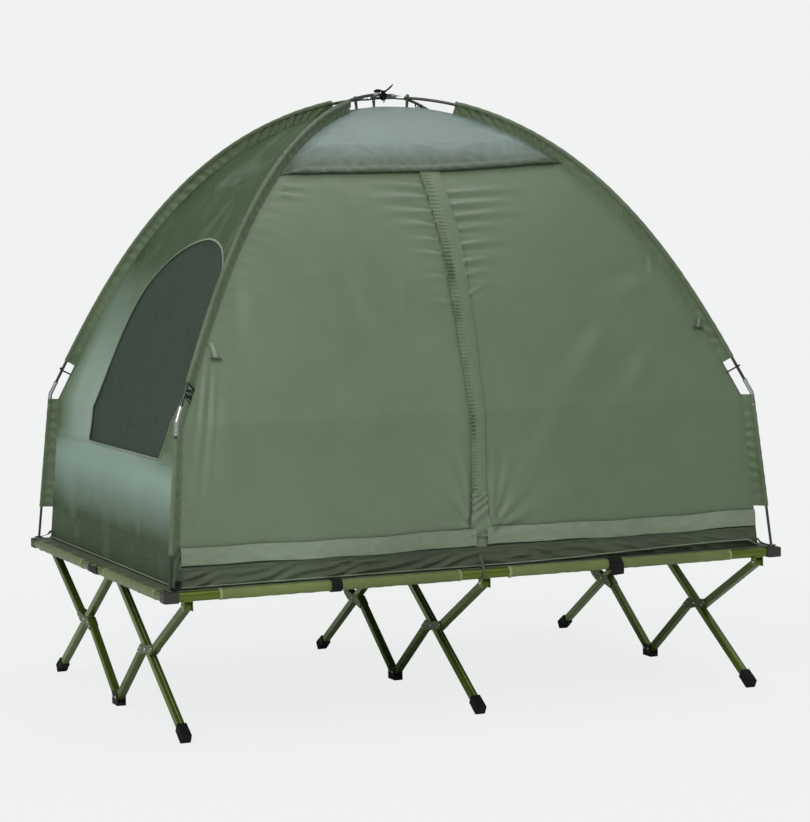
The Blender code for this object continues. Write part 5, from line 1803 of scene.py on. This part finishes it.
    def build_elbow(self) -> None:
        """Bind the open stretch of hip, and lace or hook it to the pole."""
        steps = len(FORM.pole) - 1
        top = int(np.argmin(np.abs(FORM.hip[:, 1] - self.sleeve_foot)))
        aside = FORM.cross_way(self.way)
        index = np.arange(top - 2, steps + 1)
        edge = FORM.spot(self.way, FORM.hip[index])
        Shop.ribbon(self.name + "_hip_tape", edge, aside, 0.006, 0.0016, FINISHES.sleeve, "tent")
        if self.name == "near_left":
            zigzag = []
            for count, index in enumerate(np.linspace(top + 1, int(steps * 0.955), 11)):
                spot = FORM.pole[int(index)] if count % 2 else FORM.hip[int(index)]
                away = 0.0056 * (1 if count % 4 < 2 else -1) if count % 2 else 0.0035
                zigzag.append(FORM.spot(self.way, spot) + aside * away)
            path = smooth_path(zigzag, 0.003)
            Shop.wire(self.name + "_lacing", path, 0.0015, FINISHES.webbing, "tent", 8)
            log.info("%s lacing: %.3f m", self.name, path_length(path))
            return
        at = int(steps * 0.945)
        pole, hip = FORM.pole[at], FORM.hip[at]
        outward = unit(pole - hip)
        middle, out = FORM.spot(self.way, pole), FORM.spot(self.way, outward)
        hook = smooth_path([middle - out * 0.031, middle - out * 0.016 + aside * 0.004,
                            middle - out * 0.003 + aside * 0.0078, middle + out * 0.0075,
                            middle + out * 0.002 - aside * 0.0078,
                            middle + out * 0.011 - aside * 0.012], 0.002)
        Shop.wire(self.name + "_hook", hook, 0.0024, FINISHES.plastic, "tent", 10)
        Shop.ribbon(self.name + "_hook_strap", [middle - out * 0.0345, middle - out * 0.030,
                                                middle - out * 0.025], aside, 0.012, 0.0022,
                    FINISHES.webbing, "tent")

    def hip_at(self, height: float) -> float:
        """How far from the middle the tent's corner is at a height."""
        return float(np.interp(height, FORM.line[:, 1], FORM.line[:, 0]))

    def curve(self, spots: Sequence[Tuple[float, float]]) -> np.ndarray:
        """Run a smooth curve through spots in the corner's upright plane."""
        return smooth_path([FORM.spot(self.way, np.array(spot, float)) for spot in spots], 0.003)

    def build_loop(self) -> None:
        """Sew the webbing that holds the tent's corner at the rod's foot."""
        rod, hip = self.rod_at, self.hip_at
        aside = FORM.cross_way(self.way)
        if self.name == "near_left":
            spots = [(hip(0.536) + 0.004, 0.536), (rod(0.505) - 0.011, 0.505),
                     (rod(0.470) - 0.0085, 0.470), (rod(0.445) - 0.0085, 0.4455),
                     (rod(0.437) - 0.0130, 0.4385), (hip(0.440) + 0.006, 0.4375),
                     (hip(0.450) + 0.002, 0.4490)]
            Shop.ribbon(self.name + "_webbing_loop", self.curve(spots), aside, 0.022, 0.0014,
                        FINISHES.tub, "tent")
        spots = [(hip(0.455) + 0.001, 0.455), (hip(0.445) + 0.010, 0.443),
                 (rod(0.436) - 0.012, 0.4360), (rod(0.436) + 0.004, 0.4350),
                 (rod(0.436) + 0.013, 0.4345)]
        Shop.ribbon(self.name + "_webbing_foot", self.curve(spots), aside, 0.024, 0.0015,
                    FINISHES.webbing, "tent")

    def build_tabs(self) -> None:
        """Sew the small tab that holds the bare pole near the crown."""
        at = int(self.tab * (len(FORM.pole) - 1))
        pole, hip = FORM.pole[at], FORM.hip[at]
        inward = unit(hip - pole)
        aside = FORM.cross_way(self.way)
        along = FORM.spot(self.way, unit(FORM.pole[at + 1] - FORM.pole[at - 1]))
        middle, fin = FORM.spot(self.way, pole), FORM.spot(self.way, inward)
        turn = np.linspace(math.radians(34), math.radians(326), 24)
        loop = [middle + fin * 0.032 + aside * 0.0014]
        loop += [middle + 0.0064 * (fin * math.cos(angle) + aside * math.sin(angle))
                 for angle in turn]
        loop.append(middle + fin * 0.032 - aside * 0.0014)
        Shop.ribbon(self.name + "_crown_tab", loop, along, 0.008, 0.0012, FINISHES.tub, "tent")


@dataclass
class Crown:
    """The two bent poles, their ferrules at the crown and the knotted tie where they cross."""

    pole_radius: float = 0.0045
    lift: float = 0.00465

    def build(self) -> None:
        """Make the poles, the ferrules and the tie."""
        steps = len(FORM.pole) - 1
        for name, way, lift in (("pole_over", (1, 1), self.lift),
                                ("pole_under", (1, -1), -self.lift)):
            share = np.linspace(0, 1, steps + 1)[:, None]
            half = FORM.pole + np.array((0.0, lift)) * (1 - share)
            last = len(half) - 3
            there = FORM.spot(way, half[:last])
            back = FORM.spot((-way[0], -way[1]), half[1:last])[::-1]
            path = np.concatenate((back, there))
            made = Shop.wire(name + "_rod", path, self.pole_radius, FINISHES.pole, "tent", 16)
            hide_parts(name)
            for at, (start, size) in enumerate(((-0.064, 0.024), (0.040, 0.026))):
                along = np.linspace(start, start + size, 10)
                place = np.stack((np.abs(along), np.interp(np.abs(along), half[:, 0], half[:, 1])),
                                 axis=1)
                spots = np.where(along[:, None] > 0, FORM.spot(way, place),
                                 FORM.spot((-way[0], -way[1]), place))
                radius = 0.0058 - 0.0006 * (np.abs(np.linspace(-1, 1, 10)) > 0.9)
                Shop.wire("%s_ferrule_%d" % (name, at + 1), spots, radius, FINISHES.steel,
                          "tent", 18)
        self.build_tie()
        log.info("crown: two poles, four ferrules and the tie")

    def build_tie(self) -> None:
        """Tie the tape round the crossing, with two short wings and a tail."""
        top = FORM.pole[0][1]
        turn = np.linspace(0, 2 * math.pi, 26, endpoint=False)
        for count, angle in enumerate((0.0, math.pi / 2)):
            level = np.array((math.cos(angle), math.sin(angle), 0.0))
            ring = np.array((0, 0, top)) + np.outer(np.cos(turn) * 0.0105, level) + np.outer(
                np.sin(turn) * 0.0125, UP)
            across = np.cross(UP, level)
            Shop.ribbon("tie_wrap_%d" % (count + 1), ring, across, 0.008, 0.0013,
                        FINISHES.webbing, "tent", True)
        crown = top + 0.0130
        wings = {
            "tie_left_wing": [(0, 0, 0), (-0.010, -0.004, 0.004), (-0.022, -0.005, 0.006),
                              (-0.031, -0.003, 0.003), (-0.022, 0.002, 0.001), (-0.009, 0.003, 0.0)],
            "tie_right_wing": [(0, 0, 0), (0.010, -0.003, 0.006), (0.020, -0.004, 0.014),
                               (0.031, -0.002, 0.022), (0.026, 0.003, 0.014), (0.010, 0.004, 0.002)],
            "tie_tail": [(0.001, -0.004, 0.001), (-0.002, -0.011, -0.002),
                         (-0.004, -0.015, -0.014), (-0.004, -0.016, -0.032)]}
        for name, points in wings.items():
            path = smooth_path(np.array(points) + (0, 0, crown), 0.002)
            log.info("%s: %.3f m", name, path_length(path))
            made = Shop.ribbon(name, path, (0.2, 1.0, -0.35), 0.013, 0.0014, FINISHES.webbing,
                               "tent")
            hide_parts("crossing_tie")
        Shop.block("tie_knot", (0, 0, crown + 0.001), ((1, 0.2, 0), (-0.2, 1, 0), UP),
                   (0.013, 0.011, 0.008), 0.003, FINISHES.webbing, "tent")


@dataclass
class BedCloth:
    """The bed's cloth: its top sheet, the sleeves round rails and end bars, and the straps."""

    rail_y: float = 0.700
    rail_z: float = 0.415
    rail_radius: float = 0.014
    underside: float = 0.4293
    thickness: float = 0.0018
    half_length: float = 0.9197
    bar_x: float = 0.9425
    sleeve_x: Tuple[float, float] = (0.075, 0.800)
    sleeve_y: Tuple[float, float] = (0.120, 0.620)
    bar_half: Tuple[float, float] = (0.0225, 0.0135)
    bar_edge: float = 0.011
    keep: float = 0.214

    def fold(self, made: bpy.types.Object) -> None:
        """Give a piece of the bed's cloth its own mesh."""
        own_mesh(made)

    def build(self) -> None:
        """Make the sheet, the sleeves and the straps."""
        self.build_sheet()
        for side, word in ((-1, "near"), (1, "far")):
            for end, part in ((-1, "left"), (1, "right")):
                self.build_rail_sleeve(side, end, "%s_%s_rail_sleeve" % (word, part), word)
        for end, word in ((-1, "left"), (1, "right")):
            for side, part in ((-1, "near"), (1, "far")):
                self.build_end_sleeve(end, side, "%s_%s_end_sleeve" % (word, part))
            self.build_end_strap(end, word)
        self.build_straps()
        log.info("bed cloth: sheet, eight sleeves and straps")

    def build_sheet(self) -> None:
        """Make the top sheet, which lies on the rails and end bars."""
        edge = self.bar_x + 0.014
        x, y = np.meshgrid(np.linspace(-edge, edge, 230), np.linspace(-0.700, 0.700, 170))
        sag = 0.004 * (1 - (y / self.rail_y) ** 2) * ease((self.half_length - np.abs(x)) / 0.05)
        margin = np.minimum(edge - np.abs(x), self.rail_y - np.abs(y))
        folds = 0.0009 * wander(x * 0.6 + y, y - x * 0.3, 16, 4.0)
        folds = folds - 0.0009 * (1 - np.exp(-((margin - 0.012) / 0.003) ** 2)) * ease(
            1 - margin / 0.05)
        z = self.underside + self.thickness - 0.0001 - sag - np.abs(folds)
        panel = Panel("bed_sheet", np.stack((x, y, z), axis=2), FINISHES.bed, self.thickness,
                      "near_rail_frame", held="stretched", rests_on=("near_rail", "far_rail"))
        self.fold(panel.build(("bed_fabric",)))

    def ring_sleeve(self, name: str, along: np.ndarray, middle: Tuple[float, float],
                    half: Tuple[float, float], corner: float, lengthwise: bool, finish: Any,
                    body: str, loose: float, seed: float) -> bpy.types.Object:
        """Make a sleeve round a rail or a bar, drawn in at its ends.

        Args:
            name: The sleeve's name.
            along: Places along the rail or bar.
            middle: Its middle, level and height.
            half: Half of its section, level and upright.
            corner: The radius of the section's corners.
            lengthwise: Whether it runs along X.
            finish: The finish that it gets.
            body: The body that carries it.
            loose: How far the cloth stands off.
            seed: Which wrinkles it gets.

        Returns:
            The new object.
        """
        turn = np.linspace(0, 2 * math.pi, 36, endpoint=False)
        flat = rounded(half, corner, turn)
        way = np.stack((np.cos(turn), np.sin(turn)), axis=1)
        grid_along, grid_turn = np.meshgrid(along, turn, indexing="ij")
        near = np.minimum(along - along[0], along[-1] - along)[:, None]
        slack = loose * (0.55 + 0.45 * wander(grid_along, np.cos(grid_turn) * 0.05, 22, seed))
        folds = np.sin(grid_along * 120 + grid_turn * 2 + 6 * wander(grid_along, grid_turn * 0.02,
                                                                     9, seed))
        slack = slack + loose * 0.22 * folds
        slack = slack * ease((near + 0.0002) / 0.003) + 0.0004
        spread = flat[None] + way[None] * slack[..., None]
        level, upright = middle[0] + spread[..., 0], middle[1] + spread[..., 1]
        if lengthwise:
            points = np.stack((grid_along, level, upright), axis=2)
        else:
            points = np.stack((level, grid_along, upright), axis=2)
        return Shop.sweep(name, points, finish, body)

    def build_rail_sleeve(self, side: int, end: int, name: str, word: str) -> None:
        """Make one of a rail's two sleeves with its hem bands.

        Args:
            side: -1 for the near rail, 1 for the far one.
            end: -1 for the left sleeve, 1 for the right.
            name: The sleeve's name.
            word: The rail's word in names.
        """
        low, high = sorted((end * self.sleeve_x[0], end * self.sleeve_x[1]))
        middle = (side * self.rail_y, self.rail_z)
        half = (self.rail_radius, self.rail_radius)
        body = word + "_rail_frame"
        seed = 3.0 + side + 2.3 * end
        along = np.linspace(low, high, 220)
        made = self.ring_sleeve(name, along, middle, half, self.rail_radius, True,
                                FINISHES.rail_cloth, body, 0.0018, seed)
        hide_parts("bed_fabric")
        for count, start in enumerate((low - 0.0008, high - 0.0082)):
            band = np.linspace(start, start + 0.009, 8)
            self.ring_sleeve("%s_band_%d" % (name, count + 1), band, middle, half,
                             self.rail_radius, True, FINISHES.band, body, 0.0040, seed)

    def build_end_sleeve(self, end: int, side: int, name: str) -> None:
        """Make one of an end bar's two sleeves with its hem bands.

        Args:
            end: -1 for the left bar, 1 for the right.
            side: -1 for the near sleeve, 1 for the far one.
            name: The sleeve's name.
        """
        low, high = sorted((side * self.sleeve_y[0], side * self.sleeve_y[1]))
        middle = (end * self.bar_x, self.rail_z)
        along = np.linspace(low, high, 160)
        seed = 8.0 + side + 2.3 * end
        made = self.ring_sleeve(name, along, middle, self.bar_half, self.bar_edge, False,
                                FINISHES.rail_cloth, "near_rail_frame", 0.0016, seed)
        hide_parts("bed_fabric")
        self.fold(made)
        for count, start in enumerate((low - 0.0008, high - 0.0082)):
            band = np.linspace(start, start + 0.009, 8)
            self.fold(self.ring_sleeve("%s_band_%d" % (name, count + 1), band, middle,
                                       self.bar_half, self.bar_edge, False, FINISHES.band,
                                       "near_rail_frame", 0.0034, seed))

    def build_end_strap(self, end: int, word: str) -> None:
        """Put the strap with its buckle round the middle of an end bar.

        Args:
            end: -1 for the left bar, 1 for the right.
            word: The bar's word in names.
        """
        turn = np.linspace(0, 2 * math.pi, 40, endpoint=False)
        half = (self.bar_half[0] + 0.0010, self.bar_half[1] + 0.0012)
        x, z = (rounded(half, self.bar_edge, turn) + (end * self.bar_x, self.rail_z)).T
        for name, y, width in (("strap", 0.040, 0.025), ("tab", -0.030, 0.020)):
            ring = np.stack((x, np.full(len(turn), y), z), axis=1)
            Shop.ribbon("%s_end_%s" % (word, name), ring, (0, 1, 0), width, 0.0014,
                        FINISHES.tub, word + "_end_bar", True)
        face = end * (self.bar_x + self.bar_half[0])
        axes = ((0, 1, 0), (0, 0, 1), (1, 0, 0))
        Shop.block(word + "_buckle", (face + end * 0.0012, -0.033, 0.4145), axes,
                   (0.046, 0.022, 0.0040), 0.0017, FINISHES.plastic, word + "_end_bar")
        Shop.block(word + "_buckle_tongue", (face + end * 0.0024, -0.004, 0.4145), axes,
                   (0.022, 0.015, 0.0030), 0.0012, FINISHES.plastic, word + "_end_bar")
        link = np.linspace((face + end * 0.0012, 0.030, 0.4145),
                           (face + end * 0.0020, -0.012, 0.4145), 12)
        Shop.ribbon(word + "_buckle_strap", link, (0, 0, 1), 0.016, 0.0013, FINISHES.webbing,
                    word + "_end_bar")

    def build_straps(self) -> None:
        """Put the two black straps round the near rail and the tie from tent to rail."""
        body = "near_rail_frame"
        turn = np.linspace(0, 2 * math.pi, 36, endpoint=False)
        radius = self.rail_radius + 0.0040
        for name, x, width in (("near_rail_strap", -0.457, 0.032), ("near_rail_hanger", 0.414, 0.044)):
            ring = np.stack((np.full(len(turn), x), -self.rail_y + np.cos(turn) * radius,
                             self.rail_z + np.sin(turn) * radius), axis=1)
            Shop.ribbon(name, ring, (1, 0, 0), width, 0.0014, FINISHES.webbing, body, True)
        drop = smooth_path([(0.416, -0.7195, 0.420), (0.417, -0.7205, 0.408), (0.419, -0.7180, 0.394),
                            (0.420, -0.7150, 0.384)], 0.003)
        Shop.ribbon("near_rail_hanger_tail", drop, (1, 0, 0.08), 0.040, 0.0016, FINISHES.webbing,
                    body)
        tie = smooth_path([(-0.002, -0.678, 0.470), (-0.003, -0.690, 0.452), (-0.004, -0.704, 0.434),
                           (-0.006, -0.7165, 0.419), (-0.008, -0.7155, 0.404),
                           (-0.010, -0.704, 0.3985)], 0.003)
        Shop.ribbon("tent_tie", tie, (1, 0, 0), 0.009, 0.0013, FINISHES.tub, "tent")


@dataclass
class FrameDress:
    """Finishes of the folding frame's solid parts, and its rivet heads, light seam lines that also
    paint in a highlight, and foot ribs.
    """

    pitch: float = 0.893
    hinge_gap: float = 0.013
    low: float = 0.025
    top: float = 0.405
    cross: Tuple[float, float] = (0.324, 0.215)
    rail_pivot: Tuple[float, float] = (0.700, 0.38787)
    brace_offset: float = 0.0225
    brace_inset: float = 0.031
    plate_face: float = 0.0131
    tube_half: float = 0.011
    cap_wall: float = 0.0038
    cap_edge: float = 0.003
    rib_radius: float = 0.0011

    def finish_of(self, node: str) -> Any:
        """Choose the finish of one of the frame's parts.

        Args:
            node: The part's name.

        Returns:
            The finish.
        """
        if "foot_cap" in node:
            return FINISHES.rubber
        if "hinge_block" in node or "slider" in node:
            return FINISHES.plastic
        if "end_bar" in node:
            return FINISHES.bar
        if "brace" in node:
            return FINISHES.brace
        return FINISHES.tube

    def build(self) -> None:
        """Dress every solid part and add its small pieces."""
        for name, part in frame["nodes"].items():
            material = FINISHES.of(self.finish_of(name))
            part.data.materials.clear()
            part.data.materials.append(material)
        for word, x in (("left", -self.pitch), ("middle", 0.0), ("right", self.pitch)):
            for name, side in (("near", -1), ("far", 1)):
                self.build_half(word, x, name, side)
            self.build_hinges(word, x)
        log.info("frame: %d solid parts dressed", len(frame["nodes"]))

    def build_half(self, word: str, x: float, name: str, side: int) -> None:
        """Add the rivets of one brace, the light seam line of one leg, which also paints in a
        highlight, and the ribs of its foot.

        Args:
            word: The leg set's word in names.
            x: Where the leg set stands.
            name: The half's word in names.
            side: -1 for the near half, 1 for the far one.
        """
        low = np.array((side * self.hinge_gap, self.low))
        cross = np.array((side * self.cross[0], self.cross[1]))
        rail = np.array((side * self.rail_pivot[0], self.rail_pivot[1]))
        top = np.array((side * self.hinge_gap, self.top))
        down = unit(low - cross)
        inward_up = np.array((-down[1] * side, down[0] * side))
        inward_up = inward_up if inward_up[1] > 0 else -inward_up
        lower_end = cross + inward_up * self.brace_offset + down * self.brace_inset
        upper_end = cross - inward_up * self.brace_offset - down * self.brace_inset
        spots = [lower_end + unit(low - lower_end) * back for back in (0.010, 0.030)]
        spots += [upper_end + unit(rail - upper_end) * back for back in (0.010, 0.030)]
        body = "%s_%s_brace" % (word, name)
        places = [((x + way * self.plate_face, *spot), way) for spot in spots for way in (-1, 1)]
        Shop.domes(body + "_rivets", places, 0.0036, 0.0020, FINISHES.steel, body)
        places = [((x + way * self.plate_face, *cross), way) for way in (-1, 1)]
        Shop.domes(body + "_pin", places, 0.0050, 0.0024, FINISHES.steel, body)
        bracket = "%s_%s_rail_bracket" % (word, name)
        corner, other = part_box(bracket)
        places = [((corner.x, *rail), -1), ((other.x, *rail), 1)]
        Shop.domes(bracket + "_bolt", places, 0.0048, 0.0024, FINISHES.steel,
                   name + "_rail_frame")
        leg = "%s_%s_leg" % (word, name)
        up = unit(top - cross)
        face = np.array((-up[1], up[0])) * (1 if side * -up[1] > 0 else -1)
        reach = float(np.linalg.norm(top - cross))
        foot = cross[1] / abs(up[1]) - 0.062
        # A light dotted line down the leg's face: it stands for the leg's seam and also paints in a
        # highlight.
        along = np.linspace(-foot, reach - 0.020, 150)
        seam = cross + np.outer(along, up) + face * (self.tube_half + 0.00005)
        path = np.concatenate((np.full((len(seam), 1), x), seam), axis=1)
        Shop.wire(leg + "_seam", path, 0.0010 + 0.0004 * (np.arange(len(path)) % 2),
                  FINISHES.band, leg, 6)
        cap_foot = cross[1] / abs(up[1]) - 0.010
        for count in range(4):
            centre = cross - up * (cap_foot - 0.012 - 0.008 * count)
            self.build_rib("%s_foot_rib_%d" % (leg, count + 1), x, centre, up, leg)

    def build_rib(self, name: str, x: float, centre: np.ndarray, up: np.ndarray,
                  body: str) -> None:
        """Run one raised rib round a rubber foot cap.

        Args:
            name: The rib's name.
            x: Where the leg set stands.
            centre: The rib's middle, across the bed and up.
            up: The leg's direction, across the bed and up.
            body: The body that carries it.
        """
        half = self.tube_half + self.cap_wall
        across = np.array((-up[1], up[0]))
        ring = [(x + level, *(centre + across * deep))
                for level, deep in corner_points((half, half), self.cap_edge)]
        Shop.wire(name, ring, self.rib_radius, FINISHES.rubber, body, 8, True)

    def build_hinges(self, word: str, x: float) -> None:
        """Add the pin heads of a leg set's two hinge blocks.

        Args:
            word: The leg set's word in names.
            x: Where the leg set stands.
        """
        for part, height in (("low", self.low), ("top", self.top)):
            block = "%s_%s_hinge_block" % (word, part)
            body = next(name for name, nodes in frame["record"]["behaviour"]["bodies"].items()
                        if block in nodes)
            corner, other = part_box(block)
            places = [((edge, side * self.hinge_gap, height), way)
                      for edge, way in ((corner.x, -1), (other.x, 1)) for side in (-1, 1)]
            Shop.domes(block + "_pins", places, 0.0045, 0.0022, FINISHES.steel, body)


@dataclass
class Studio:
    """The pale floor, the soft light and the camera."""

    background: Colour = tint("f1f2f2")
    camera_at: Tuple[float, float, float] = (-3.11, -7.73, 1.48)
    azimuth: float = math.radians(-22.24)
    elevation: float = math.radians(4.41)
    roll: float = math.radians(-1.17)
    focal_pixels: float = 2700.0
    long_side: float = 822.0
    sensor: float = 36.0
    sky: Colour = (0.93, 0.97, 1.0)
    fill: float = 0.42
    lamps: Tuple[Tuple[str, Tuple[float, float, float], float, float], ...] = (
        ("key", (-4.2, -5.2, 6.0), 4.0, 280.0), ("top", (1.5, 0.5, 6.5), 4.0, 105.0))
    aim: Tuple[float, float, float] = (0.0, 0.0, 0.9)
    floor_half: float = 60.0
    floor_height: float = -0.0005

    def build(self) -> None:
        """Make the floor, the world, the lamps and the camera."""
        bpy.context.scene.view_settings.view_transform = "Standard"
        self.build_floor()
        self.build_world()
        for lamp in self.lamps:
            self.build_lamp(*lamp)
        self.build_camera()
        log.info("studio: floor, world, two lamps and the camera")

    def build_floor(self) -> None:
        """Lay the pale floor, which keeps the object's shadow."""
        board = NodeBoard.start("studio_floor")
        whole, x, y, _ = board.place()
        speckle = board.noise(whole, 40.0, 2.0)
        base = board.blend(speckle * 0.03, self.background, (0.8, 0.8, 0.8))
        plain = board.add("ShaderNodeBsdfPrincipled", None, {"Base Color": base, "Roughness": 0.9})
        glow = board.add("ShaderNodeEmission", None, {"Color": self.background, "Strength": 1.0})
        path = board.add("ShaderNodeLightPath")
        far = board.math("MAXIMUM", (x * x + y * y - 1.5) * 0.14, 0.0)
        far = board.math("MINIMUM", far, 1.0)
        seen = Value(board, path.outputs["Is Camera Ray"]) * (far * 0.08 + 0.92)
        mix = board.add("ShaderNodeMixShader", None, {0: seen, 1: plain.outputs[0],
                                                      2: glow.outputs[0]})
        material = board.close(mix.outputs[0])
        mesh = bpy.data.meshes.new("floor")
        half = self.floor_half
        outline = ((-half, -half), (half, -half), (half, half), (-half, half))
        mesh.from_pydata([(*spot, self.floor_height) for spot in outline], [], [(0, 1, 2, 3)])
        mesh.materials.append(material)
        floor = bpy.data.objects.new("floor", mesh)
        bpy.context.scene.collection.objects.link(floor)

    def build_world(self) -> None:
        """Light the object evenly, and show the plain background to the camera."""
        board = NodeBoard(bpy.data.worlds.new("studio"))
        path = board.add("ShaderNodeLightPath")
        either = board.math("MAXIMUM", path.outputs["Is Camera Ray"],
                            path.outputs["Is Transmission Ray"])
        light = board.add("ShaderNodeBackground", None, {"Color": self.sky, "Strength": self.fill})
        seen = board.add("ShaderNodeBackground", None, {"Color": self.background, "Strength": 1.0})
        mix = board.add("ShaderNodeMixShader", None, {0: either, 1: light.outputs[0],
                                                      2: seen.outputs[0]})
        bpy.context.scene.world = board.close(mix.outputs[0], "ShaderNodeOutputWorld")

    def build_lamp(self, name: str, place: Sequence[float], size: float, power: float) -> None:
        """Hang a soft lamp that points at the tent.

        Args:
            name: The lamp's name.
            place: Where it hangs.
            size: How wide it is.
            power: How strong it is.
        """
        lamp = bpy.data.lights.new(name, "AREA")
        lamp.shape = "DISK"
        lamp.size = size
        lamp.energy = power
        made = bpy.data.objects.new(name, lamp)
        bpy.context.scene.collection.objects.link(made)
        made.location = place
        look = Vector(self.aim) - Vector(place)
        made.rotation_euler = look.to_track_quat("-Z", "Y").to_euler()

    def build_camera(self) -> None:
        """Set up the camera where the photograph was taken from."""
        camera = bpy.data.cameras.new("camera")
        camera.sensor_width = self.sensor
        camera.lens = self.focal_pixels * self.sensor / self.long_side
        camera.clip_end = 200.0
        made = bpy.data.objects.new("camera", camera)
        bpy.context.scene.collection.objects.link(made)
        az, el = self.azimuth, self.elevation
        look = Vector((-math.sin(az) * math.cos(el), math.cos(az) * math.cos(el), -math.sin(el)))
        right = look.cross(Vector((0, 0, 1))).normalized()
        above = right.cross(look)
        level = right * math.cos(self.roll) + above * math.sin(self.roll)
        upright = above * math.cos(self.roll) - right * math.sin(self.roll)
        turn = Matrix((level, upright, -look)).transposed().to_4x4()
        made.matrix_world = Matrix.Translation(self.camera_at) @ turn
        bpy.context.scene.camera = made


def corners(box: Any) -> List[List[float]]:
    """Write a box's corners as plain lists."""
    return [[float(number) for number in corner] for corner in box]


def main() -> None:
    """Build the studio, dress the frame, and make the tent and the bed's cloth."""
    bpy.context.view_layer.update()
    Studio().build()
    FrameDress().build()
    BedCloth().build()
    Tub().build()
    FrontWall().build()
    BackWall().build()
    for side in (Side.LEFT, Side.RIGHT):
        EndWall(side).build()
    for name, way in CORNERS.items():
        Corner(name, way, **CORNER_SIZES[name]).build()
    Crown().build()


if __name__ == "__main__":
    main()
